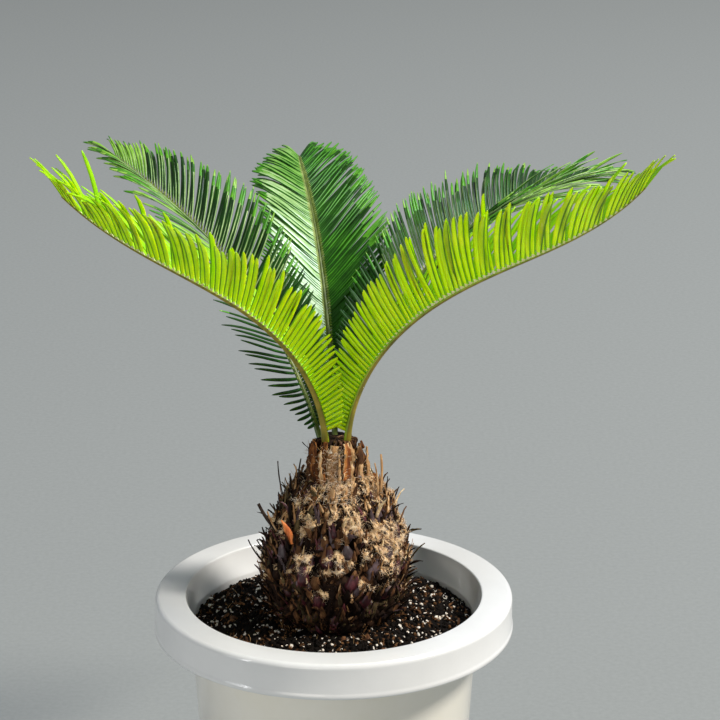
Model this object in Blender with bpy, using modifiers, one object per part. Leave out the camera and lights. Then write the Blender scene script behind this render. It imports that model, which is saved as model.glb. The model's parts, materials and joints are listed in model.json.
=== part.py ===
"""A young sago palm (Cycas revoluta) standing in a white moulded pot.

Metres, +Z up. The origin is the centre of the pot's flat underside. The plant faces -Y.
Every sub-part is one closed solid: the pot, the potting soil in it, the trunk (a swollen
caudex clad in old leaf bases, with a narrow crown), and five fronds that spring from the crown.
"""
from math import cos, log, pi, radians, sin

import bmesh
import bpy
import numpy as np
from mathutils import Matrix, Vector
from mathutils.bvhtree import BVHTree

GAP = 0.0003  # clearance between neighbouring solids
WELD = 0.000004  # corners closer than this, left by a union, are made one

# The pot
POT_HEIGHT = 0.240
RIM_RADIUS = 0.140
MOUTH_RADIUS = 0.1157
NECK_RADIUS = 0.1103  # inside, where the flared mouth meets the straight wall
FOOT_RADIUS = 0.0997
MOUTH_DEPTH = 0.020
SKIRT_DROP = 0.0275
WALL = 0.0025
FLOOR = 0.003
RIM_ROUND = 0.004
MOUTH_ROUND = 0.0015
FOOT_ROUND = 0.003
LIP = 0.0008  # the bead along the skirt's lower edge
LIP_HEIGHT = 0.003
RIM_THICK = 0.0033
DRAIN_HOLES = 6
DRAIN_RADIUS = 0.006
DRAIN_CIRCLE = 0.060
TURN_STEPS = 48

# The soil
GROUND = 0.222  # height of the soil under the trunk
SOIL_EDGE = 0.214  # height of the soil along the pot's wall
SOIL_SEAT = 0.062  # radius of the level seat under the trunk
SOIL_SHOULDER = 0.075  # radius at which the mound starts to fall
SHOULDER_DROP = 0.0012
WALL_GAP = 0.0004  # across the flats of the turned faces

# The trunk
TRUNK_X = 0.002
TRUNK_HEIGHT = 0.149
CROWN_RADIUS = 0.0195
TRUNK_STEPS = 26
# radius of the bare caudex at heights above the soil; the leaf bases stand out of it
TRUNK_OUTLINE = (
    (0.0460, 0.0), (0.0515, 0.012), (0.0555, 0.030), (0.0575, 0.045), (0.0540, 0.060),
    (0.0490, 0.076), (0.0430, 0.094), (0.0340, 0.107), (0.0250, 0.118), (0.0205, 0.125),
    (CROWN_RADIUS, 0.135), (CROWN_RADIUS, TRUNK_HEIGHT),
)
LEAF_BASES = 88
LEAF_BASE_SIZE = 0.0104  # half the width of the widest
LEAF_BASE_DEPTH = 0.0105
LEAF_BASE_RISE = 0.45  # how much they point upwards
LOWEST_LEAF_BASE = 0.010
HIGHEST_LEAF_BASE = 0.116
CROWN_STUBS = 9
STUB_WIDTH = 0.0072
STUB_HEIGHT = 0.030
STUB_DEPTH = 0.0075
GOLDEN_TURN = radians(137.508)

# The fronds
FROND_FOOT = GROUND + TRUNK_HEIGHT
RIB_RADIUS = 0.0034
RIB_TIP_RADIUS = 0.0007
RIB_POINTS = 15
RIB_STEPS = 160
LEAFLETS = 36  # in each of a frond's two rows
FIRST_LEAFLET = 0.035  # how far up the rib the lowest one sits, as a share of its length
LEAFLET_WIDTH = 0.0068
LEAFLET_THICK = 0.0012
LEAFLET_STEPS = 8
LEAST_SWEEP = radians(16)  # for a leaflet's width; the last ones lie along the rib
CLEARANCE = 0.0006
SPACING = 2.6  # how many times further apart they stand at the tip than at the foot
# shares of the rib's length at which a row's sweeps and its lifts are given
SWEEP_AT = (0.0, 0.15, 0.4, 0.7, 0.9, 1.0)
LIFT_AT = (0.0, 0.5, 1.0)

# foot: place on the crown. heading: compass of the rib, counter-clockwise from +X, and turn:
# how far it swings by the tip. lean: the rib's angle from vertical at four Bezier controls.
# rows: the left row of leaflets and the right one. lift: how far a row rises out of the
# frond's plane. sweep: the angle its leaflets make with the rib. leaf: the longest leaflet.
# full: share of the rib by which leaflets reach it. end: the last leaflet's share of it.
# droop: how far the tips sag.
FRONDS = {
    "frond_front_left": dict(
        foot=(-0.006, -0.010), heading=216, turn=13, lean=(6, 66, 66, 46), length=0.343,
        rows=(dict(lift=(42, 40, 54), sweep=(68, 66, 51, 30, 10, 6), leaf=0.0765, full=0.41,
                   end=0.68, droop=0.34),
              dict(lift=(42, 43, 45), sweep=(72, 66, 52, 34, 18, 10), leaf=0.0700, full=0.41,
                   end=0.60, droop=0.30)),
        colour=(0.36, 0.62, 0.02)),
    "frond_front_right": dict(
        foot=(0.011, -0.006), heading=333, turn=-18, lean=(7, 62, 78, 43), length=0.358,
        rows=(dict(lift=(42, 44, 44), sweep=(74, 68, 60, 42, 26, 10), leaf=0.0710, full=0.41,
                   end=0.70, droop=0.26),
              dict(lift=(52, 52, 32), sweep=(72, 68, 64, 45, 25, 9), leaf=0.0775, full=0.42,
                   end=0.90, droop=0.20)),
        colour=(0.40, 0.66, 0.02)),
    "frond_back_left": dict(
        foot=(-0.012, 0.003), heading=135, turn=-11, lean=(24, 53, 78, 79), length=0.334,
        rows=(dict(lift=(22, 28, 25), sweep=(108, 89, 68, 55, 37, 17), leaf=0.0610, full=0.15,
                   end=0.64, droop=0.46),
              dict(lift=(46, 38, 31), sweep=(88, 74, 58, 34, 24, 16), leaf=0.0713, full=0.28,
                   end=0.51, droop=0.32)),
        colour=(0.06, 0.22, 0.04)),
    "frond_back_centre": dict(
        foot=(0.001, 0.008), heading=97, turn=0, lean=(20, 56, 82, 82), length=0.324,
        rows=(dict(lift=(7, 11, 10), sweep=(62, 48, 38, 38, 24, 12), leaf=0.0720, full=0.28,
                   end=0.76, droop=0.16),
              dict(lift=(22, 27, 13), sweep=(60, 55, 51, 40, 36, 23), leaf=0.0777, full=0.28,
                   end=0.73, droop=0.12)),
        colour=(0.09, 0.30, 0.05)),
    "frond_back_right": dict(
        foot=(0.012, 0.0045), heading=45, turn=0, lean=(12, 57, 89, 88), length=0.355,
        rows=(dict(lift=(46, 30, 10), sweep=(84, 71, 58, 45, 30, 16), leaf=0.0717, full=0.42,
                   end=0.45, droop=0.32),
              dict(lift=(2, 24, 40), sweep=(91, 77, 60, 44, 30, 20), leaf=0.0730, full=0.34,
                   end=0.50, droop=0.22)),
        colour=(0.05, 0.20, 0.04)),
}


def clear_scene():
    for thing in list(bpy.data.objects):
        bpy.data.objects.remove(thing, do_unlink=True)


def new_collection(name):
    collection = bpy.data.collections.new(name)
    bpy.context.scene.collection.children.link(collection)
    return collection


def material(name, colour, roughness):
    made = bpy.data.materials.new(name)
    made.use_nodes = True
    shader = made.node_tree.nodes["Principled BSDF"]
    shader.inputs["Base Color"].default_value = (*colour, 1.0)
    shader.inputs["Roughness"].default_value = roughness
    shader.inputs["Metallic"].default_value = 0.0
    return made


def face_outwards(bm):
    """Turn a closed shape's faces outwards. Thin bent shapes mislead the face-by-face way."""
    if bm.calc_volume(signed=True) < 0:
        bmesh.ops.reverse_faces(bm, faces=bm.faces)


def add_object(name, data, collection, finish=None):
    made = bpy.data.objects.new(name, data)
    collection.objects.link(made)
    if finish:
        data.materials.append(finish)
    return made


def bake(thing):
    """The object's mesh with its modifiers applied, in place of its own."""
    bpy.context.view_layer.update()
    graph = bpy.context.evaluated_depsgraph_get()
    baked = bpy.data.meshes.new_from_object(thing.evaluated_get(graph))
    old = thing.data
    thing.modifiers.clear()
    thing.data = baked
    bpy.data.meshes.remove(old)


def discard(collection):
    for thing in list(collection.objects):
        data = thing.data
        bpy.data.objects.remove(thing, do_unlink=True)
        bpy.data.meshes.remove(data)
    bpy.data.collections.remove(collection)


def turned(name, outline, collection, finish, steps, centre_x=0.0):
    """A solid turned round the upright axis from an outline of (radius, height) points."""
    mesh = bpy.data.meshes.new(name)
    points = [(radius, 0.0, height) for radius, height in outline]
    edges = [(i, i + 1) for i in range(len(points) - 1)]
    mesh.from_pydata(points, edges, [])
    made = add_object(name, mesh, collection, finish)
    made.location.x = centre_x
    screw = made.modifiers.new("turn", "SCREW")
    screw.steps = steps
    screw.render_steps = steps
    screw.use_merge_vertices = True
    screw.merge_threshold = 0.00001
    screw.use_smooth_shade = True
    return made


def quarter_round(centre, radius, start, end, steps):
    """Points on an arc about centre, from the start to the end angle in degrees."""
    angles = [radians(start + (end - start) * i / steps) for i in range(steps + 1)]
    return [(centre[0] + radius * cos(a), centre[1] + radius * sin(a)) for a in angles]


def inner_radius(height):
    """The pot's inside radius at a height."""
    neck = POT_HEIGHT - MOUTH_DEPTH
    if height > neck:
        return NECK_RADIUS + (MOUTH_RADIUS - NECK_RADIUS) * (height - neck) / MOUTH_DEPTH
    return FOOT_RADIUS - WALL + (NECK_RADIUS - FOOT_RADIUS + WALL) * height / neck


def pot_outline():
    """From the middle of the floor up the inside, over the rim and down to the underside."""
    skirt_foot = POT_HEIGHT - SKIRT_DROP
    under_rim = POT_HEIGHT - RIM_THICK
    neck = POT_HEIGHT - MOUTH_DEPTH
    mouth_centre = (MOUTH_RADIUS + MOUTH_ROUND, POT_HEIGHT - MOUTH_ROUND)
    rim_centre = (RIM_RADIUS - RIM_ROUND, POT_HEIGHT - RIM_ROUND)
    foot_centre = (FOOT_RADIUS - FOOT_ROUND, FOOT_ROUND)
    outline = [(0.0, FLOOR), (inner_radius(FLOOR), FLOOR), (NECK_RADIUS, neck)]
    outline += quarter_round(mouth_centre, MOUTH_ROUND, 180, 90, 2)
    outline += quarter_round(rim_centre, RIM_ROUND, 90, 0, 3)
    outline += [(RIM_RADIUS, skirt_foot + LIP_HEIGHT + LIP),
                (RIM_RADIUS + LIP, skirt_foot + LIP_HEIGHT), (RIM_RADIUS + LIP, skirt_foot),
                (RIM_RADIUS - WALL, skirt_foot), (RIM_RADIUS - WALL, under_rim),
                (MOUTH_RADIUS + WALL, under_rim), (NECK_RADIUS + WALL, neck)]
    outline += quarter_round(foot_centre, FOOT_ROUND, 0, -90, 2)
    outline += [(0.0, 0.0)]
    return outline


def make_pot(collection, cutters):
    finish = material("white_polypropylene", (0.82, 0.83, 0.82), 0.28)
    pot = turned("pot", pot_outline(), collection, finish, TURN_STEPS)
    for i in range(DRAIN_HOLES):
        angle = 2 * pi * i / DRAIN_HOLES + pi / TURN_STEPS
        bm = bmesh.new()
        bmesh.ops.create_cone(bm, cap_ends=True, segments=12, radius1=DRAIN_RADIUS,
                              radius2=DRAIN_RADIUS, depth=FLOOR * 4)
        place = (DRAIN_CIRCLE * cos(angle), DRAIN_CIRCLE * sin(angle), 0.0)
        bmesh.ops.translate(bm, verts=bm.verts, vec=place)
        mesh = take_mesh(f"drain_cutter_{i}", bm)
        cutter = add_object(mesh.name, mesh, cutters)
        cutter.hide_render = True
        cutter.display_type = "WIRE"
    cut = pot.modifiers.new("drain_holes", "BOOLEAN")
    cut.operation = "DIFFERENCE"
    cut.operand_type = "COLLECTION"
    cut.collection = cutters
    cut.solver = "EXACT"
    return pot


def make_soil(collection):
    """The potting soil: it fills the pot, and rises in a low mound to the trunk's seat."""
    finish = material("potting_soil", (0.035, 0.025, 0.018), 0.95)
    seat = GROUND - GAP
    base = FLOOR + GAP
    edge = inner_radius(SOIL_EDGE) - WALL_GAP
    outline = [(0.0, seat), (SOIL_SEAT, seat), (SOIL_SHOULDER, seat - SHOULDER_DROP),
               ((SOIL_SHOULDER + edge) / 2, (seat + SOIL_EDGE) / 2), (edge, SOIL_EDGE),
               (inner_radius(base) - WALL_GAP, base), (0.0, base)]
    return turned("soil", outline, collection, finish, TURN_STEPS)


def outline_radius(height):
    radii, heights = zip(*TRUNK_OUTLINE)
    return float(np.interp(height, heights, radii))


def add_leaf_base(collection, index, place, outward, upward, width, height, depth):
    """An old leaf base: a four-sided stub, broad where it leaves the trunk."""
    bm = bmesh.new()
    bmesh.ops.create_cone(bm, cap_ends=True, segments=4, radius1=1.0, radius2=0.45, depth=1.0)
    sideways = upward.cross(outward)
    turn = Matrix((sideways * width, upward * height, outward * depth)).transposed()
    bmesh.ops.transform(bm, matrix=turn.to_4x4(), verts=bm.verts)
    bmesh.ops.translate(bm, verts=bm.verts, vec=place)
    face_outwards(bm)
    mesh = take_mesh(f"leaf_base_{index}", bm)
    add_object(mesh.name, mesh, collection)


def make_trunk(collection):
    """The caudex with its spiral of old leaf bases, and the crown of cut stubs on top."""
    finish = material("caudex_bark", (0.16, 0.09, 0.05), 0.9)
    outline = [(0.0, TRUNK_HEIGHT), *reversed(TRUNK_OUTLINE), (0.0, 0.0)]
    outline = [(radius, GROUND + height) for radius, height in outline]
    trunk = turned("trunk", outline, collection, finish, TRUNK_STEPS, TRUNK_X)
    pieces = new_collection("trunk_pieces")
    girth = max(radius for radius, height in TRUNK_OUTLINE)
    for i in range(LEAF_BASES):
        share = (i + 0.5) / LEAF_BASES
        height = LOWEST_LEAF_BASE + (HIGHEST_LEAF_BASE - LOWEST_LEAF_BASE) * share ** 1.08
        angle = i * GOLDEN_TURN
        outward = Vector((cos(angle), sin(angle), LEAF_BASE_RISE)).normalized()
        upward = (Vector((0, 0, 1)) - outward * outward.z).normalized()
        radius = outline_radius(height)
        place = Vector((TRUNK_X + radius * cos(angle), radius * sin(angle), GROUND + height))
        size = LEAF_BASE_SIZE * (0.35 + 0.65 * radius / girth)
        add_leaf_base(pieces, i, place, outward, upward, size, size * 0.85, LEAF_BASE_DEPTH)
    for i in range(CROWN_STUBS):
        angle = i * 2 * pi / CROWN_STUBS + 0.3 * (i % 2)
        outward = Vector((cos(angle), sin(angle), -0.10)).normalized()
        upward = (Vector((0, 0, 1)) - outward * outward.z).normalized()
        height = TRUNK_HEIGHT - STUB_HEIGHT * (0.58 + 0.08 * (i % 3))
        place = Vector((TRUNK_X + CROWN_RADIUS * cos(angle), CROWN_RADIUS * sin(angle),
                        GROUND + height))
        add_leaf_base(pieces, LEAF_BASES + i, place, outward, upward, STUB_WIDTH,
                      STUB_HEIGHT * 0.55, STUB_DEPTH)
    fuse(trunk, pieces, "EXACT")
    return trunk


def fuse(body, pieces, solver):
    """Join a collection's solids to the body in one union, and drop the collection."""
    union = body.modifiers.new("fuse", "BOOLEAN")
    union.operation = "UNION"
    union.operand_type = "COLLECTION"
    union.collection = pieces
    union.solver = solver
    bake(body)
    discard(pieces)
    bm = bmesh.new()
    bm.from_mesh(body.data)
    bmesh.ops.remove_doubles(bm, verts=bm.verts, dist=WELD)
    bmesh.ops.dissolve_degenerate(bm, edges=bm.edges, dist=WELD)
    bmesh.ops.triangulate(bm, faces=bm.faces)
    bm.to_mesh(body.data)
    bm.free()


def rib_frames(frond):
    """Points along a frond's rib, with the unit vectors along it, to its left and off its face."""
    share = (np.arange(RIB_STEPS) + 0.5) / RIB_STEPS
    rest = 1 - share
    a, b, c, d = frond["lean"]
    lean = np.radians(a * rest**3 + 3 * b * rest**2 * share + 3 * c * rest * share**2
                      + d * share**3)
    heading = np.radians(frond["heading"] + frond["turn"] * share)
    along = np.stack([np.sin(lean) * np.cos(heading), np.sin(lean) * np.sin(heading),
                      np.cos(lean)], axis=-1)
    steps = np.cumsum(along * frond["length"] / RIB_STEPS, axis=0)
    drop = RIB_RADIUS * sin(radians(a))  # keeps the tilted foot clear of the crown
    foot = np.array([*frond["foot"], FROND_FOOT + GAP + drop])
    points = np.vstack([foot, foot + steps])
    along = np.vstack([along[:1], along])
    left = np.stack([-np.sin(heading), np.cos(heading), 0 * heading], axis=-1)
    left = np.vstack([left[:1], left])
    face = np.cross(along, left)
    return points, along, left, face


def at(rows, share):
    """One row of an array, read between its rows at a share of its length."""
    place = share * (len(rows) - 1)
    low = min(int(place), len(rows) - 2)
    return rows[low] + (rows[low + 1] - rows[low]) * (place - low)


def rib_radius(share):
    return RIB_TIP_RADIUS + (RIB_RADIUS - RIB_TIP_RADIUS) * (1 - share) ** 0.75


def leaflet_share(place):
    """Share of the rib's length at a place in the row, from 0 at its first leaflet to 1."""
    return FIRST_LEAFLET + (1 - FIRST_LEAFLET) * (SPACING**place - 1) / (SPACING - 1)


def leaflet_pitch(frond, share):
    """How far apart the leaflets of a row stand there."""
    growth = 1 + (SPACING - 1) * (share - FIRST_LEAFLET) / (1 - FIRST_LEAFLET)
    first = frond["length"] * (1 - FIRST_LEAFLET) * log(SPACING) / (SPACING - 1) / LEAFLETS
    return first * growth


def sweep_angle(row, share):
    return radians(float(np.interp(share, SWEEP_AT, row["sweep"])))


def leaflet_length(row, share):
    """Short at the foot, full along the middle, and shorter again towards the tip."""
    growing = 0.12 + 0.88 * min(1.0, share / row["full"])
    falling = 1 - (1 - row["end"]) * max(0.0, (share - 0.65) / 0.35) ** 1.6
    return row["leaf"] * growing * falling


def leaflet_spine(frond, frames, share, side):
    """Points along one leaflet, which swings towards the tip and sags as it goes."""
    points, along, left, face = frames
    row = frond["rows"][0 if side > 0 else 1]
    lift = radians(float(np.interp(share, LIFT_AT, row["lift"])))
    outward = at(left, share) * side * cos(lift) + at(face, share) * sin(lift)
    forward = at(along, share)
    sweep = sweep_angle(row, share)
    step = leaflet_length(row, share) / LEAFLET_STEPS
    place = at(points, share)
    spine = [place]
    for i in range(LEAFLET_STEPS):
        u = i / LEAFLET_STEPS
        angle = sweep * (1 - 0.25 * u)
        heading = forward * cos(angle) + outward * sin(angle)
        heading[2] -= row["droop"] * (1 + 0.8 * share) * u * u
        place = place + step * heading / np.linalg.norm(heading)
        spine.append(place)
    return np.array(spine)


def leaflet_solid(frond, frames, share, side, margin=0.0):
    """A narrow blade, flat above and keeled below, bent along its spine."""
    spine = leaflet_spine(frond, frames, share, side)
    sweep = sweep_angle(frond["rows"][0 if side > 0 else 1], share)
    room = leaflet_pitch(frond, share) * sin(max(sweep, LEAST_SWEEP))
    width = min(LEAFLET_WIDTH, 0.78 * room) + 2 * margin
    thick = LEAFLET_THICK + 2 * margin
    bm = bmesh.new()
    bmesh.ops.create_uvsphere(bm, u_segments=3, v_segments=3, radius=1.0)
    ring_share = {-2: 0.0, -1: 0.10, 1: 0.80, 2: 1.0}
    ring_radius = sin(pi / 3)
    forward = at(frames[1], share)
    for vert in bm.verts:
        t = ring_share[round(vert.co.z * 2)]
        here = at(spine, t)
        run = at(spine, min(1.0, t + 0.05)) - at(spine, max(0.0, t - 0.05))
        run = run / np.linalg.norm(run)
        upper = np.cross(run, forward) * -side
        upper = upper / np.linalg.norm(upper)
        across = np.cross(upper, run)
        place = here + across * (vert.co.y / (2 * ring_radius * ring_radius)) * width
        place = place + upper * (-vert.co.x / (1.5 * ring_radius)) * thick
        vert.co = place.tolist()
    face_outwards(bm)
    return bm


def take_mesh(name, bm):
    """Turn a bmesh into a mesh, and free it."""
    mesh = bpy.data.meshes.new(name)
    bm.to_mesh(mesh)
    bm.free()
    return mesh


def take_faces(bm):
    """A bmesh's corners and faces, for the overlap test, and free it."""
    bm.verts.index_update()
    corners = [vert.co.copy() for vert in bm.verts]
    faces = [[vert.index for vert in face.verts] for face in bm.faces]
    bm.free()
    return corners, faces


def rib_solid(frames, collection, margin=0.0):
    """The rib: a tapering limb swept along its curve, made a closed shape."""
    curve = bpy.data.curves.new("rib", "CURVE")
    curve.dimensions = "3D"
    curve.bevel_depth = 1.0
    curve.bevel_resolution = 0
    curve.use_fill_caps = True
    spline = curve.splines.new("POLY")
    spline.points.add(RIB_POINTS - 1)
    for i, point in enumerate(spline.points):
        share = i / (RIB_POINTS - 1)
        point.co = (*at(frames[0], share), 1.0)
        point.radius = rib_radius(share) + margin
    guide = bpy.data.objects.new("rib", curve)
    collection.objects.link(guide)
    bpy.context.view_layer.update()
    graph = bpy.context.evaluated_depsgraph_get()
    mesh = bpy.data.meshes.new_from_object(guide.evaluated_get(graph))
    bpy.data.objects.remove(guide, do_unlink=True)
    bpy.data.curves.remove(curve)
    bm = bmesh.new()
    bm.from_mesh(mesh)
    bpy.data.meshes.remove(mesh)
    bmesh.ops.remove_doubles(bm, verts=bm.verts, dist=0.00001)
    bmesh.ops.recalc_face_normals(bm, faces=bm.faces)
    face_outwards(bm)
    return bm


def make_fronds(collection):
    """Each frond is its rib with two rows of leaflets fused to it. A leaflet that would come
    too close to another frond is left off."""
    frames = {name: rib_frames(frond) for name, frond in FRONDS.items()}
    taken = {name: [take_faces(rib_solid(frames[name], collection, CLEARANCE))]
             for name in FRONDS}
    for name, frond in FRONDS.items():
        others = [BVHTree.FromPolygons(*shape) for other in FRONDS if other != name
                  for shape in taken[other]]
        rib = add_object(name, take_mesh(name, rib_solid(frames[name], collection)), collection,
                         material(name + "_leaf", frond["colour"], 0.35))
        leaflets = new_collection(name + "_leaflets")
        for i in range(LEAFLETS):
            for side in (1, -1):
                share = leaflet_share((i + 0.25 * (1 + side)) / LEAFLETS)
                room = take_faces(leaflet_solid(frond, frames[name], share, side, CLEARANCE))
                probe = BVHTree.FromPolygons(*room)
                if any(probe.overlap(other) for other in others):
                    continue
                taken[name].append(room)
                leaflet = take_mesh(f"{name}_leaflet_{i}_{side}",
                                    leaflet_solid(frond, frames[name], share, side))
                add_object(leaflet.name, leaflet, leaflets)
        fuse(rib, leaflets, "MANIFOLD")


def main():
    clear_scene()
    palm = new_collection("sago_palm")
    cutters = new_collection("cutters")
    make_pot(palm, cutters)
    make_soil(palm)
    make_trunk(palm)
    make_fronds(palm)


main()
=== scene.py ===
"""A young sago palm (Cycas revoluta) in a white moulded pot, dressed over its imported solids.

Metres, +Z up. The origin is the centre of the pot's flat underside, and the plant faces -Y.
"""
import json
from math import cos, log, pi, radians, sin

import bmesh
import bpy
import numpy as np
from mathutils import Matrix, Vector, noise

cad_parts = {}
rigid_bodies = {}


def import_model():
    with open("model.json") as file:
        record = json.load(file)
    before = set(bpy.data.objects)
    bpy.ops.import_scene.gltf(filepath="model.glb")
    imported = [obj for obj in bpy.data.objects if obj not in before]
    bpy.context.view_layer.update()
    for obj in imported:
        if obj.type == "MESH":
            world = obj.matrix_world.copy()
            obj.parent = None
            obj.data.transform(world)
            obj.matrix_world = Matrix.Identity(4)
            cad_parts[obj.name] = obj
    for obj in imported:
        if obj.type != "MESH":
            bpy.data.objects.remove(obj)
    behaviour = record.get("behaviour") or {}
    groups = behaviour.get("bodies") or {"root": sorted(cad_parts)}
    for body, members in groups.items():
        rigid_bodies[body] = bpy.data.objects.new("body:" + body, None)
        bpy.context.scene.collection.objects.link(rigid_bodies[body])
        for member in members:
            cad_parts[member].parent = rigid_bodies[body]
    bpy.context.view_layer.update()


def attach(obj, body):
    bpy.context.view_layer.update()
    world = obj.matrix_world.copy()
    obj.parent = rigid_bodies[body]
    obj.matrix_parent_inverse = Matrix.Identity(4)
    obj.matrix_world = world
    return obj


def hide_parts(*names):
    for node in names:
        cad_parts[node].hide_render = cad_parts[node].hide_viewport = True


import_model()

# The pot, as its solid has it
POT_HEIGHT = 0.240
RIM_RADIUS = 0.140
MOUTH_RADIUS = 0.1157
NECK_RADIUS = 0.1103  # inside, where the mouth has narrowed down to the wall
FOOT_RADIUS = 0.0997
MOUTH_DEPTH = 0.020
SKIRT_DROP = 0.0275  # how far the rim's skirt hangs down
WALL = 0.0025
FLOOR = 0.003
RIM_ROUND = 0.004
MOUTH_ROUND = 0.0015
FOOT_ROUND = 0.003
LIP = 0.0008  # how far the skirt's lower edge stands out
LIP_HEIGHT = 0.003
RIM_THICK = 0.0033
DRAIN_HOLES = 6
DRAIN_RADIUS = 0.006
DRAIN_CIRCLE = 0.060
POT_STEPS = 192

# The soil
GROUND = 0.222  # the height of the soil round the trunk
SOIL_EDGE = 0.214  # and at the pot's wall
SOIL_SEAT = 0.062  # the radius out to which it is level
SOIL_RINGS = 84
SOIL_AROUND = 320
SOIL_RELIEF = 0.0014
SOIL_CLEAR = 0.0004  # between the soil and the pot's wall
SOIL_SHOULDER = 0.009  # how far below its edge the bed's side starts
LOOSE_FROM = 0.040  # the radius from which crumbs lie on it, clear of the trunk

# The trunk
TRUNK_X = 0.002
TRUNK_HEIGHT = 0.149
CROWN_RADIUS = 0.0195
# the bare trunk's radii, each with its height above the soil
TRUNK_OUTLINE = (
    (0.0460, 0.0), (0.0515, 0.012), (0.0555, 0.030), (0.0575, 0.045), (0.0540, 0.060),
    (0.0490, 0.076), (0.0430, 0.094), (0.0340, 0.107), (0.0250, 0.118), (0.0205, 0.125),
    (CROWN_RADIUS, 0.135), (CROWN_RADIUS, TRUNK_HEIGHT),
)
GOLDEN_TURN = radians(137.508)
CORE_AROUND = 380
CORE_RINGS = 190
CORE_SINK = 0.003  # how far the bark goes down into the soil
SHOULDER = 0.108  # the height at which the neck starts
NECK_RISE = 0.018  # the height over which the bark draws in under the neck's plates
NECK_SLIM = 0.20
LEAF_BASE_SIZE = 0.0125
# the relief of the bark and of the wool that mats it
BASE_BULGE = 0.0042
FIBRE_RELIEF = 0.0010
CLOT_RELIEF = 0.0020
HOLE_DEPTH = 0.0045
FELT_THICK = 0.0016
FELT_CLOTS = 0.0030
FELT_GRAIN = 0.0018
# what stands on the bark
BRACTS = 70
LOWEST_BRACT = 0.004
BRACT_SINK = 0.0012
FRESH_SINK = 0.0010
PALE_FROM = 0.085  # large scales and leaf bases below this height have no dry, pale finish
SCALES = 1150
SMALL_SPINES = 64
INNER_STUBS = 11
SKIRT_PLATES = 84
SKIRT_SPREAD = 0.034  # how much wider the skirt is where its plates lean in by 45 degrees
NECK_TUFTS = 1500
WOOL_LENGTH = (0.0014, 0.0044)
WOOL_THICK = 0.055  # a strand's share of its length

# The fronds
FROND_FOOT = GROUND + TRUNK_HEIGHT
FOOT_GAP = 0.0003
RIB_RADIUS = 0.0034
YOUNG_RIB_SLIM = 0.80  # the bare rib's share of that, without the leaflets' feet
MATURE_RIB_SLIM = 0.62
RIB_TIP_RADIUS = 0.0006
RIB_STEPS = 160
RIB_STATIONS = 64
RIB_ROOT = 0.022  # how far the stem goes down into the crown
FIRST_LEAFLET = 0.012
LEAFLET_STEPS = 16
YOUNG_WIDTH = 0.0050
MATURE_WIDTH = 0.0056
LEAFLET_THICK = 0.0005
SPACING = 1.7  # how many times further apart they stand at the tip than at the foot
LEAST_SWEEP = radians(16)  # for a leaflet's width; the last ones lie along the rib
# shares of the rib's length at which a row's sweeps and its lifts are given
SWEEP_AT = (0.0, 0.15, 0.4, 0.7, 0.9, 1.0)
LIFT_AT = (0.0, 0.5, 1.0)
LAP_AT = (0.30, 0.45)  # and between which its lap changes

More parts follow.
